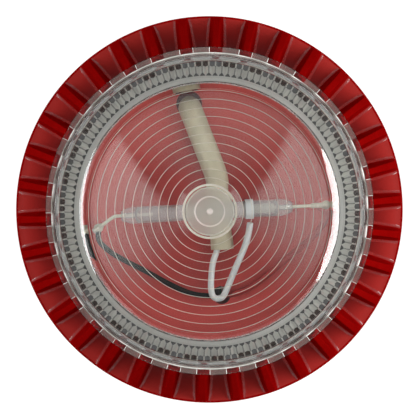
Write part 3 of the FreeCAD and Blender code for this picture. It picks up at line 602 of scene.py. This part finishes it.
def lens_finish(face):
    """Which of the lens's finishes a face has, by its place and its slope."""
    r, z, angle = place_round(face.center)
    level = abs(face.normal.z)
    inner = r < wall_radius(z) - LENS_WALL / 2
    on_ridge = abs((angle / COLUMN_ANGLE) % 4 - 2) < 1
    past_wall = r - wall_radius(BLOCK_TOP)
    kind = CLEAR
    # Painted light and shade: the prisms' ridges take the pale finish, the faces between them dark lines low
    # down and near-black gaps at the tips.
    if inner and r > PRISM_ZONE and PRISM_STEP < z < PRISM_CROWN:
        between = PRISM_LINE if z < PRISM_TIP else PRISM_VALLEY
        kind = PRISM_FACE if on_ridge else between
    # Painted shade at the ridges' feet, with pale faces between them.
    if inner and r > PRISM_ZONE and PRISM_FOOT < z < PRISM_STEP:
        kind = PRISM_END if on_ridge else PRISM_FACE
    if inner and r > EDGE_SATIN_INNER and PRISM_CROWN < z < EDGE_SATIN_TOP:
        kind = EDGE
    # Painted light: a pale band under the prisms.
    if inner and r > FOOT_BAND_INNER and FOOT_BAND_LOW < z < PRISM_FOOT:
        kind = FOOT
    fillet_foot, fillet_end, fillet_top = FILLET_HEIGHTS
    by_wall = FILLET_RADII[0] < r < FILLET_RADII[1]
    # Painted reflection lines on the fillet: the pale foot finish low down, a paler haze above.
    if by_wall and fillet_foot < z < fillet_top and level > 0.3:
        kind = FILLET if z > fillet_end else FOOT
    # Painted highlight: the rings' steep steps take a pale cream finish.
    if inner and BOSS_FACE < r < PRISM_ZONE and z < CROWN_UNDER and level < 0.95:
        kind = RING
    if r < BOSS_EDGE and z < CROWN_UNDER and level > 0.5:
        kind = BOSS
    on_dish_side = GATE_DISH[0][0] < r < GATE_DISH[-1][0]
    if z > LENS_TOP - GATE_DEPTH and (r < GATE_NUB_TOP or on_dish_side):
        kind = GATE
    if BLOCK_TOP - 0.05 < z < BLOCK_TOP + 0.05 and past_wall > 0:
        kind = BLOCK_FACE
    on_block_back = BLOCK_BACK[0] < r < BLOCK_BACK[1] and level < 0.1
    if on_block_back and FLANGE_TOP + 0.1 < z < BLOCK_TOP - 0.1:
        kind = EDGE
    # Painted highlights: the blocks' rounded top edges take the pale foot finish.
    on_block_edge = BLOCK_TOP - 0.13 < z < BLOCK_TOP - 0.005 and 0.2 < face.normal.z < 0.98
    if on_block_edge and past_wall > 0.3:
        kind = FOOT
    return kind


def lens_piece(materials):
    piece = spun("clear_lens_moulding", crown_section() + foot_section() + inner_section(), COLUMNS)
    mesh = bmesh.from_edit_mesh(piece.data)
    column = {v: round(math.atan2(v.co.y, v.co.x) / COLUMN_ANGLE) % COLUMNS for v in mesh.verts}
    shape_prisms(mesh, column)
    raise_blocks(piece, mesh, column)
    close_mesh()
    smooth(piece, 14)
    finished(piece, "lens", "clear_lens", materials, "lens")
    for face in piece.data.polygons:
        face.material_index = lens_finish(face)


# The flash tube and its leads

def flash_tube(material):
    """The glass, turned about the tube's axis from (x, radius) points round its wall."""
    left = [(TUBE_LEFT, TUBE_TIP)] + [(TUBE_LEFT + x, r) for x, r in TUBE_END]
    right = [(TUBE_RIGHT - x, r) for x, r in reversed(TUBE_END)] + [(TUBE_RIGHT, TUBE_TIP)]
    inside = [(TUBE_RIGHT - x, r) for x, r in reversed(TUBE_END_INSIDE)]
    inside += [(TUBE_LEFT + x, r) for x, r in TUBE_END_INSIDE]
    profile = left + right + inside + left[:1]
    piece = drawn_line("flash_tube_glass", [(x, 0, TUBE_HEIGHT + r) for x, r in profile])
    bpy.ops.mesh.select_all(action="SELECT")
    bpy.ops.mesh.spin(steps=40, angle=2 * math.pi, center=(0, 0, TUBE_HEIGHT * MM), axis=(1, 0, 0))
    close_mesh()
    smooth(piece, 50)
    finished(piece, "head", "tube_glass", material, "flash_tube")


def smooth_tube(name, points, radius, ends=True, resolution=12):
    """A round lead along a smooth line, as a mesh."""
    line = bpy.data.curves.new(name, "CURVE")
    line.dimensions = "3D"
    run = line.splines.new("NURBS")
    run.points.add(len(points) - 1)
    for point, place in zip(run.points, points):
        point.co = (*(Vector(place) * MM), 1)
    run.order_u = 3
    run.use_endpoint_u = True
    run.resolution_u = resolution
    line.bevel_depth = radius * MM
    line.bevel_resolution = 5
    line.use_fill_caps = ends
    piece = bpy.data.objects.new(name, line)
    bpy.context.collection.objects.link(piece)
    pick(piece)
    bpy.ops.object.convert(target="MESH")
    piece = bpy.context.object
    bpy.ops.object.mode_set(mode="EDIT")
    close_mesh()
    smooth(piece, 60)
    return piece


def over_deck(places):
    """Points over the deck, from their rise as a share of the tube's height."""
    return [Vector((x, y, DECK_TOP + rise * (TUBE_HEIGHT - DECK_TOP))) for x, y, rise in places]


def lead_route(post, start, places, duct_x):
    """A lead's points from its solder joint over the deck and down the duct."""
    points = [Vector((*post, TUBE_HEIGHT)) + Vector(start)]
    return points + over_deck(places) + [Vector((duct_x, DUCT_Y, z)) for z in DUCT_HEIGHTS]


def leads(materials):
    black_route = lead_route(LEFT_POST, BLACK_LEAD_START, BLACK_LEAD_PLACES, BLACK_LEAD_DUCT)
    black = smooth_tube("black_lead", black_route, BLACK_LEAD_RADIUS)
    finished(black, "head", "black_insulation", materials["black_insulation"], "cathode_lead")
    red_route = lead_route(RIGHT_POST, RED_LEAD_START, RED_LEAD_PLACES, RED_LEAD_DUCT)
    red = smooth_tube("red_lead", red_route, RED_LEAD_RADIUS)
    finished(red, "head", "red_insulation", materials["red_insulation"], "anode_lead")


def sleeve_route():
    """The sleeve's line: up from the board, out of the deck's hole, a knee, and under the tube to its end."""
    foot = Vector((-3.6, 26.1, 34))
    bend = Vector((-3.4, 24.7, SLEEVE_HEIGHT))
    knee = Vector((2.3, 8.0, SLEEVE_HEIGHT))
    end = Vector((2.6, -9.5, SLEEVE_HEIGHT))
    run = (knee - bend).normalized() * SLEEVE_BEND
    last = (end - knee).normalized() * SLEEVE_BEND
    rise = [foot, foot + Vector((0, 0, 22)), bend - Vector((0, 0, 3))]
    return rise + [bend, bend + run, knee - run, knee, knee + last, end]


def trigger_pieces(materials):
    route = sleeve_route()
    sleeve = smooth_tube("cream_sleeve", route, SLEEVE_RADIUS, False, 20)
    pick(sleeve)
    wall = sleeve.modifiers.new("wall", "SOLIDIFY")
    wall.thickness = SLEEVE_WALL * MM
    wall.offset = -1
    bpy.ops.object.modifier_apply(modifier=wall.name)
    smooth(sleeve, 60)
    finished(sleeve, "head", "cream_silicone", materials["cream_silicone"], "trigger_sleeve")
    wire = smooth_tube("trigger_wire", route[:-1] + over_deck(HAIRPIN_PLACES), HAIRPIN_RADIUS)
    finished(wire, "head", "trigger_metal", materials["trigger_metal"], "trigger_lead")


def pin_crimps(material):
    """A small crimp over each pin's end, on a dab of solder on its post."""
    crimps = []
    left_pin = Vector((*LEFT_POST, 0)) - Vector((TUBE_LEFT - PIN_KINK, 0, 0))
    right_pin = Vector((1, 0, 0))
    outline = list(CRIMP_HALF) + [(-d, r) for d, r in reversed(CRIMP_HALF)]
    outline += [(CRIMP_END, 0), (-CRIMP_END, 0), CRIMP_HALF[0]]
    ends = ((LEFT_POST, left_pin.normalized(), 0), (RIGHT_POST, right_pin, RIGHT_CRIMP_INSET))
    for post, pin, inset in ends:
        crimp = turned("crimp", [(r, d) for d, r in outline], CRIMP_COLUMNS)
        dab = turned("dab", SOLDER_DAB, CRIMP_COLUMNS)
        facing = pin.to_track_quat("Z", "X").to_matrix().to_4x4()
        for piece, turn, back in ((crimp, facing, inset), (dab, Matrix(), 0)):
            place = Vector((*post, TUBE_HEIGHT)) - pin * back
            piece.matrix_world = Matrix.Translation(place * MM) @ turn
            pick(piece)
            bpy.ops.object.transform_apply(location=True, rotation=True, scale=True)
            crimps.append(piece)
    piece = joined("pin_crimps", crimps)
    smooth(piece, 40)
    finished(piece, "head", "solder", material, "solder_joints")


# Finishes

LENS_IOR = 1.58
QUARTZ_IOR = 1.46
NOISE_MIDDLE = (0.3, 0.7)       # most of a noise lies between these


def finish_nodes(name):
    material = bpy.data.materials.new(name)
    material.use_nodes = True
    tree = material.node_tree
    return material, tree, tree.nodes["Principled BSDF"]


def mottle(tree, scale, detail):
    """Soft noise over the piece's own coordinates; scale is in cells per millimetre."""
    coords = tree.nodes.new("ShaderNodeTexCoord")
    noise = tree.nodes.new("ShaderNodeTexNoise")
    noise.inputs["Scale"].default_value = scale / MM
    noise.inputs["Detail"].default_value = detail
    tree.links.new(coords.outputs["Object"], noise.inputs["Vector"])
    return noise.outputs["Fac"]


def tones(tree, source, colours):
    """A ramp through colours, over the middle of a noise."""
    ramp = tree.nodes.new("ShaderNodeValToRGB")
    for stop, place, colour in zip(ramp.color_ramp.elements, NOISE_MIDDLE, colours):
        stop.position = place
        stop.color = (*colour, 1)
    tree.links.new(source, ramp.inputs["Fac"])
    return ramp.outputs["Color"]


def span(tree, source, low, high):
    """Maps the middle of a noise to a range."""
    fit = tree.nodes.new("ShaderNodeMapRange")
    fit.inputs["From Min"].default_value = NOISE_MIDDLE[0]
    fit.inputs["From Max"].default_value = NOISE_MIDDLE[1]
    fit.inputs["To Min"].default_value = low
    fit.inputs["To Max"].default_value = high
    tree.links.new(source, fit.inputs["Value"])
    return fit.outputs["Result"]


def relief(tree, shader, source, height):
    """A fine bump, its height in millimetres."""
    bump = tree.nodes.new("ShaderNodeBump")
    bump.inputs["Distance"].default_value = height * MM
    tree.links.new(source, bump.inputs["Height"])
    tree.links.new(bump.outputs["Normal"], shader.inputs["Normal"])


def finish(name, colours, rough, height=0.01, metal=0.0, gloss=0.5):
    """A moulded, drawn or plated surface: colour patches, uneven gloss and a fine grain."""
    material, tree, shader = finish_nodes(name)
    shader.inputs["Metallic"].default_value = metal
    shader.inputs["Specular IOR Level"].default_value = gloss
    patches = mottle(tree, 0.15, 4.0)
    grain = mottle(tree, 3.0, 2.0)
    tree.links.new(tones(tree, patches, colours), shader.inputs["Base Color"])
    tree.links.new(span(tree, grain, *rough), shader.inputs["Roughness"])
    relief(tree, shader, grain, height)
    return material


def clear_finish(name, colours, rough, clear=1.0, ior=LENS_IOR):
    """A see-through moulding or glass, with faint flow marks in its tint and gloss."""
    material, tree, shader = finish_nodes(name)
    shader.inputs["Transmission Weight"].default_value = clear
    shader.inputs["IOR"].default_value = ior
    flow = mottle(tree, 0.08, 2.0)
    tree.links.new(tones(tree, flow, colours), shader.inputs["Base Color"])
    tree.links.new(span(tree, flow, *rough), shader.inputs["Roughness"])
    return material


def tint_over(material, tint, share):
    """Mixes a tint into a finish's colour, by a share that a socket gives."""
    tree = material.node_tree
    shader = tree.nodes["Principled BSDF"]
    under = shader.inputs["Base Color"].links[0].from_socket
    mix = tree.nodes.new("ShaderNodeMix")
    mix.data_type = "RGBA"
    mix.inputs["B"].default_value = (*tint, 1)
    tree.links.new(share, mix.inputs["Factor"])
    tree.links.new(under, mix.inputs["A"])
    tree.links.new(mix.outputs["Result"], shader.inputs["Base Color"])


def painted_light_on_up_faces(material, tint, amount):
    """Paints a paler tint on the surfaces that face up: painted light from above."""
    tree = material.node_tree
    facing = tree.nodes.new("ShaderNodeNewGeometry")
    up = tree.nodes.new("ShaderNodeSeparateXYZ")
    tree.links.new(facing.outputs["Normal"], up.inputs["Vector"])
    level = tree.nodes.new("ShaderNodeMapRange")
    level.inputs["From Min"].default_value = 0.1
    level.inputs["From Max"].default_value = 0.95
    level.inputs["To Max"].default_value = amount
    tree.links.new(up.outputs["Z"], level.inputs["Value"])
    tint_over(material, tint, level.outputs["Result"])


def painted_light_outwards(material, tint, start, end):
    """Fades a finish to a paler tint between two radii about the axis, in millimetres: painted light that
    grows outwards.
    """
    tree = material.node_tree
    coords = tree.nodes.new("ShaderNodeTexCoord")
    flat = tree.nodes.new("ShaderNodeMapping")
    flat.inputs["Scale"].default_value = (1, 1, 0)
    tree.links.new(coords.outputs["Object"], flat.inputs["Vector"])
    reach = tree.nodes.new("ShaderNodeVectorMath")
    reach.operation = "LENGTH"
    tree.links.new(flat.outputs["Vector"], reach.inputs[0])
    level = tree.nodes.new("ShaderNodeMapRange")
    level.inputs["From Min"].default_value = start * MM
    level.inputs["From Max"].default_value = end * MM
    tree.links.new(reach.outputs["Value"], level.inputs["Value"])
    tint_over(material, tint, level.outputs["Result"])


# The red moulding's own colour is painted dark: painted shade deep in the scoops' throats.
red_plastic = finish(
    "red_moulded_plastic", [(0.12, 0.0015, 0.0015), (0.145, 0.002, 0.002)], (0.45, 0.55), gloss=0.03)
# Painted light from above: the red moulding's up-facing faces are paler.
painted_light_on_up_faces(red_plastic, (0.19, 0.005, 0.004), 0.75)
# Painted light: the red moulding grows paler out towards the rim.
painted_light_outwards(red_plastic, (0.37, 0.026, 0.022), 38, 47)
red_root_sheen = finish(
    "red_rib_root", [(0.24, 0.01, 0.009), (0.28, 0.013, 0.011)], (0.2, 0.28), gloss=0.6)
red_rib_plastic = finish(
    "red_rib_plastic", [(0.23, 0.001, 0.001), (0.265, 0.0015, 0.0015)], (0.5, 0.6), gloss=0.0)
deck_red = finish(
    "red_strobe_deck", [(0.46, 0.038, 0.034), (0.52, 0.046, 0.04)], (0.45, 0.55), gloss=0.2)
# Painted light: the deck grows paler towards its outer zone, where light comes in through the lens wall.
painted_light_outwards(deck_red, (0.9, 0.1, 0.088), 16, 28)

clear_plastic = clear_finish(
    "clear_lens_plastic", [(0.96, 0.975, 0.95), (0.98, 0.985, 0.97)], (0.0, 0.03))
# Painted light and shade on the clear prism wall: pale ridge faces, dark lines between them, near-black gaps
# at their tips and dark ends at their feet.
painted_prism_light = clear_finish(
    "painted_light_on_prism_faces", [(0.72, 0.72, 0.65), (0.77, 0.77, 0.7)], (0.4, 0.5), 0.3)
painted_gap_shade = finish(
    "painted_shade_in_prism_gaps", [(0.004, 0.004, 0.003), (0.007, 0.007, 0.005)], (0.6, 0.7), gloss=0.0)
painted_end_shade = finish(
    "painted_shade_at_prism_ends", [(0.05, 0.05, 0.045), (0.07, 0.07, 0.063)], (0.6, 0.7), gloss=0.0)
painted_line_shade = finish(
    "painted_shade_lines_between_prisms", [(0.2, 0.2, 0.18), (0.26, 0.26, 0.23)], (0.5, 0.6), gloss=0.1)
boss_haze = clear_finish(
    "hazed_lens_boss", [(0.88, 0.84, 0.75), (0.93, 0.88, 0.79)], (0.25, 0.4), 0.55)
block_satin = clear_finish(
    "satin_block_top", [(0.55, 0.47, 0.43), (0.63, 0.55, 0.5)], (0.15, 0.25), 0.85)
edge_satin = clear_finish(
    "satin_lens_edge", [(0.67, 0.675, 0.63), (0.72, 0.725, 0.68)], (0.4, 0.5), 0.3)
# Painted highlight: the thin cream lines on the rings' steep steps.
painted_ring_highlight = finish(
    "painted_highlight_on_ring_steps", [(0.92, 0.86, 0.76), (0.97, 0.92, 0.82)], (0.35, 0.45))
# Painted light: the pale band under the prisms, the white line low on the foot fillet and the blocks' white
# top edges.
painted_foot_light = clear_finish(
    "painted_light_on_lens_foot_and_edges", [(0.92, 0.91, 0.86), (0.97, 0.96, 0.91)], (0.35, 0.45), 0.15)
# Painted reflection: a paler haze along the wall's foot fillet.
painted_fillet_reflection = clear_finish(
    "painted_reflection_on_foot_fillet", [(0.78, 0.75, 0.7), (0.84, 0.81, 0.76)], (0.2, 0.3), 0.72)
gate_satin = clear_finish(
    "satin_gate_mark", [(0.8, 0.74, 0.7), (0.86, 0.8, 0.76)], (0.3, 0.4), 0.6)
tube_glass = clear_finish(
    "flash_tube_quartz", [(0.97, 0.98, 0.98), (0.99, 0.99, 0.99)], (0.0, 0.02), 0.75, QUARTZ_IOR)

finishes = {
    "electrode_metal": finish(
        "electrode_metal", [(0.8, 0.74, 0.6), (0.88, 0.82, 0.68)], (0.4, 0.55), metal=0.6),
    "trigger_metal": finish(
        "tinned_trigger_wire", [(0.82, 0.85, 0.87), (0.9, 0.92, 0.93)], (0.35, 0.5), metal=0.1),
    "solder": finish(
        "dull_solder", [(0.7, 0.65, 0.52), (0.8, 0.75, 0.62)], (0.35, 0.5), metal=0.5),
    "cream_silicone": finish(
        "cream_silicone", [(0.62, 0.55, 0.38), (0.7, 0.63, 0.46)], (0.45, 0.6)),
    "black_insulation": finish(
        "black_insulation", [(0.003, 0.003, 0.002), (0.006, 0.0055, 0.004)], (0.5, 0.65), gloss=0.1),
    "red_insulation": finish(
        "red_insulation", [(0.4, 0.012, 0.01), (0.48, 0.018, 0.014)], (0.35, 0.5)),
    "black_moulding": finish(
        "black_moulding", [(0.012, 0.012, 0.013), (0.02, 0.02, 0.021)], (0.4, 0.55)),
    "seal_rubber": finish(
        "seal_rubber", [(0.016, 0.016, 0.016), (0.03, 0.03, 0.03)], (0.6, 0.8), height=0.02),
    "transducer_brass": finish(
        "transducer_brass", [(0.62, 0.42, 0.14), (0.7, 0.5, 0.2)], (0.25, 0.4), metal=1.0),
    "transducer_ceramic": finish(
        "transducer_ceramic", [(0.62, 0.58, 0.5), (0.7, 0.66, 0.58)], (0.5, 0.7)),
    "board_green": finish(
        "board_green", [(0.01, 0.11, 0.035), (0.015, 0.15, 0.05)], (0.3, 0.45)),
    "contact_gold": finish(
        "contact_gold", [(0.78, 0.55, 0.2), (0.85, 0.62, 0.26)], (0.2, 0.35), metal=1.0),
    "screw_steel": finish(
        "screw_steel", [(0.5, 0.5, 0.5), (0.62, 0.62, 0.61)], (0.25, 0.4), metal=1.0),
    "capacitor_can": finish(
        "capacitor_can", [(0.02, 0.03, 0.09), (0.03, 0.045, 0.12)], (0.3, 0.4)),
    "ferrite": finish(
        "ferrite", [(0.03, 0.03, 0.032), (0.05, 0.05, 0.052)], (0.6, 0.75)),
    "film_yellow": finish(
        "film_yellow", [(0.62, 0.36, 0.03), (0.7, 0.43, 0.05)], (0.35, 0.5)),
    "terminal_grey": finish(
        "terminal_grey", [(0.2, 0.21, 0.22), (0.26, 0.27, 0.28)], (0.4, 0.55)),
    "switch_blue": finish(
        "switch_blue", [(0.01, 0.05, 0.3), (0.016, 0.07, 0.36)], (0.35, 0.5)),
    "lever_white": finish(
        "lever_white", [(0.72, 0.72, 0.7), (0.8, 0.8, 0.78)], (0.35, 0.5)),
    "red_moulding": red_plastic,
    "clear_lens": clear_plastic,
    "tube_glass": tube_glass,
}
for part in frame["record"]["subparts"]:
    node = nodes[part["node"]]
    node.data.materials.clear()
    node.data.materials.append(finishes[part["material_slot"]])
nodes["strobe_deck"].data.materials[0] = deck_red

sounder_body([red_plastic, red_rib_plastic, red_root_sheen])
lens_piece([
    clear_plastic, painted_prism_light, painted_gap_shade, boss_haze, block_satin, edge_satin,
    gate_satin, painted_foot_light, painted_ring_highlight, painted_fillet_reflection, painted_line_shade, painted_end_shade])
flash_tube(tube_glass)
leads(finishes)
trigger_pieces(finishes)
pin_crimps(finishes["solder"])


# Floor, light and camera

FLOOR_SIZE = 6              # metres
FLOOR_GREY = (0.2, 0.2, 0.2, 1)
FLOOR_GLOW = 0.08           # in reflections and through the lens
FLOOR_WHITE = 0.86          # added where the camera sees the floor
LIGHT_TARGET = Vector((0, 0, 0.05))


def math_node(tree, operation, *values):
    """A sum of sockets and numbers in a node tree."""
    node = tree.nodes.new("ShaderNodeMath")
    node.operation = operation
    for socket, value in zip(node.inputs, values):
        if isinstance(value, (int, float)):
            socket.default_value = value
        else:
            tree.links.new(value, socket)
    return node.outputs["Value"]


def pale_floor():
    """A grey that shades, with a glow that makes it white to the camera."""
    material = bpy.data.materials.new("pale_floor")
    material.use_nodes = True
    tree = material.node_tree
    tree.nodes.clear()
    rays = tree.nodes.new("ShaderNodeLightPath").outputs
    seen = math_node(tree, "MAXIMUM", rays["Is Camera Ray"], rays["Is Glossy Ray"])
    seen = math_node(tree, "MAXIMUM", seen, rays["Is Transmission Ray"])
    glow = math_node(tree, "MULTIPLY", seen, FLOOR_GLOW)
    white = math_node(tree, "MULTIPLY_ADD", rays["Is Camera Ray"], FLOOR_WHITE, glow)
    emission = tree.nodes.new("ShaderNodeEmission")
    tree.links.new(white, emission.inputs["Strength"])
    grey = tree.nodes.new("ShaderNodeBsdfDiffuse")
    grey.inputs["Color"].default_value = FLOOR_GREY
    both = tree.nodes.new("ShaderNodeAddShader")
    tree.links.new(grey.outputs["BSDF"], both.inputs[0])
    tree.links.new(emission.outputs["Emission"], both.inputs[1])
    output = tree.nodes.new("ShaderNodeOutputMaterial")
    tree.links.new(both.outputs["Shader"], output.inputs["Surface"])
    return material


def studio_sky():
    """Soft light from above at both sides and behind, fainter light all round, and white to the camera."""
    world = bpy.data.worlds.new("studio")
    bpy.context.scene.world = world
    world.use_nodes = True
    tree = world.node_tree
    coords = tree.nodes.new("ShaderNodeTexCoord")
    split = tree.nodes.new("ShaderNodeSeparateXYZ")
    tree.links.new(coords.outputs["Generated"], split.inputs["Vector"])
    x, y, z = split.outputs

    def fade(value, low, high):
        node = tree.nodes.new("ShaderNodeMapRange")
        node.interpolation_type = "SMOOTHSTEP"
        node.inputs["From Min"].default_value = low
        node.inputs["From Max"].default_value = high
        tree.links.new(value, node.inputs["Value"])
        return node.outputs["Result"]

    def times(first, second):
        return math_node(tree, "MULTIPLY", first, second)

    def rest_of(share):
        return math_node(tree, "SUBTRACT", 1.0, share)

    aside = math_node(tree, "ABSOLUTE", x)
    upper = fade(y, -0.05, 0.1)
    lower = times(rest_of(upper), fade(y, -0.5, -0.05))
    crisp = times(fade(aside, 0.3, 0.34), upper)
    blurred = times(fade(aside, 0.2, 0.46), lower)
    sides = times(math_node(tree, "ADD", crisp, blurred), 3.2)
    behind = fade(y, 0.2, 0.35)
    above = times(math_node(tree, "MAXIMUM", sides, behind), fade(z, 0.78, 0.88))
    around_low = times(rest_of(fade(z, 0.35, 0.6)), 0.7)
    light = math_node(tree, "ADD", math_node(tree, "ADD", above, around_low), 0.2)
    rays = tree.nodes.new("ShaderNodeLightPath").outputs
    background = tree.nodes["Background"]
    background.inputs["Color"].default_value = (1, 1, 1, 1)
    seen = math_node(tree, "MAXIMUM", light, rays["Is Camera Ray"])
    tree.links.new(seen, background.inputs["Strength"])


def strip_lamp(name, place, length, width, power):
    """A soft strip that faces the object, in metres and watts."""
    lamp = bpy.data.lights.new(name, "AREA")
    lamp.shape = "ELLIPSE"
    lamp.size = length
    lamp.size_y = width
    lamp.energy = power
    strip = bpy.data.objects.new(name, lamp)
    bpy.context.collection.objects.link(strip)
    strip.location = place
    strip.rotation_euler = (LIGHT_TARGET - Vector(place)).to_track_quat("-Z", "Y").to_euler()


IMAGE_WIDTH = 419           # pixels
RIM_PIXELS = 193.4          # radius of the rim in the image
SENSOR_WIDTH = 36           # millimetres
CAMERA_HEIGHT = 1.075       # metres over the rim's top
CAMERA_ROLL = math.radians(3.05)
CAMERA_ASIDE = (-0.00146, 0.00733)  # metres right and up from the axis
AIM_PIXELS = (0.06, -0.52)          # right and up from the rim's centre


def overhead_camera():
    """Looks down on the lens, a little off the axis and turned a little about it."""
    scale = RIM_PIXELS / (RIM_RADIUS * MM)
    right = Vector((math.cos(CAMERA_ROLL), -math.sin(CAMERA_ROLL), 0))
    up = Vector((math.sin(CAMERA_ROLL), math.cos(CAMERA_ROLL), 0))
    rim = Vector((0, 0, CONE_FOOT * MM))
    aim = rim + right * (AIM_PIXELS[0] / scale) + up * (AIM_PIXELS[1] / scale)
    place = rim + Vector((0, 0, CAMERA_HEIGHT)) + up * CAMERA_ASIDE[1] + right * CAMERA_ASIDE[0]
    lens = bpy.data.cameras.new("cam")
    lens.sensor_fit = "HORIZONTAL"
    lens.sensor_width = SENSOR_WIDTH
    lens.lens = scale * CAMERA_HEIGHT * SENSOR_WIDTH / IMAGE_WIDTH
    camera = bpy.data.objects.new("cam", lens)
    bpy.context.collection.objects.link(camera)
    back = (place - aim).normalized()
    across = (right - back * right.dot(back)).normalized()
    facing = Matrix((across, back.cross(across), back)).transposed().to_4x4()
    facing.translation = place
    camera.matrix_world = facing
    return camera


deselect()
bpy.ops.mesh.primitive_plane_add(size=FLOOR_SIZE, location=(0, 0, 0))
floor = bpy.context.object
floor.name = "floor"
floor.data.materials.append(pale_floor())
studio_sky()
strip_lamp("left_strip", (-0.62, 0.03, 0.5), 0.7, 0.11, 2.4)
strip_lamp("right_strip", (0.62, -0.06, 0.6), 0.75, 0.2, 5.6)
bpy.context.scene.camera = overhead_camera()
bpy.context.scene.view_settings.view_transform = "Standard"
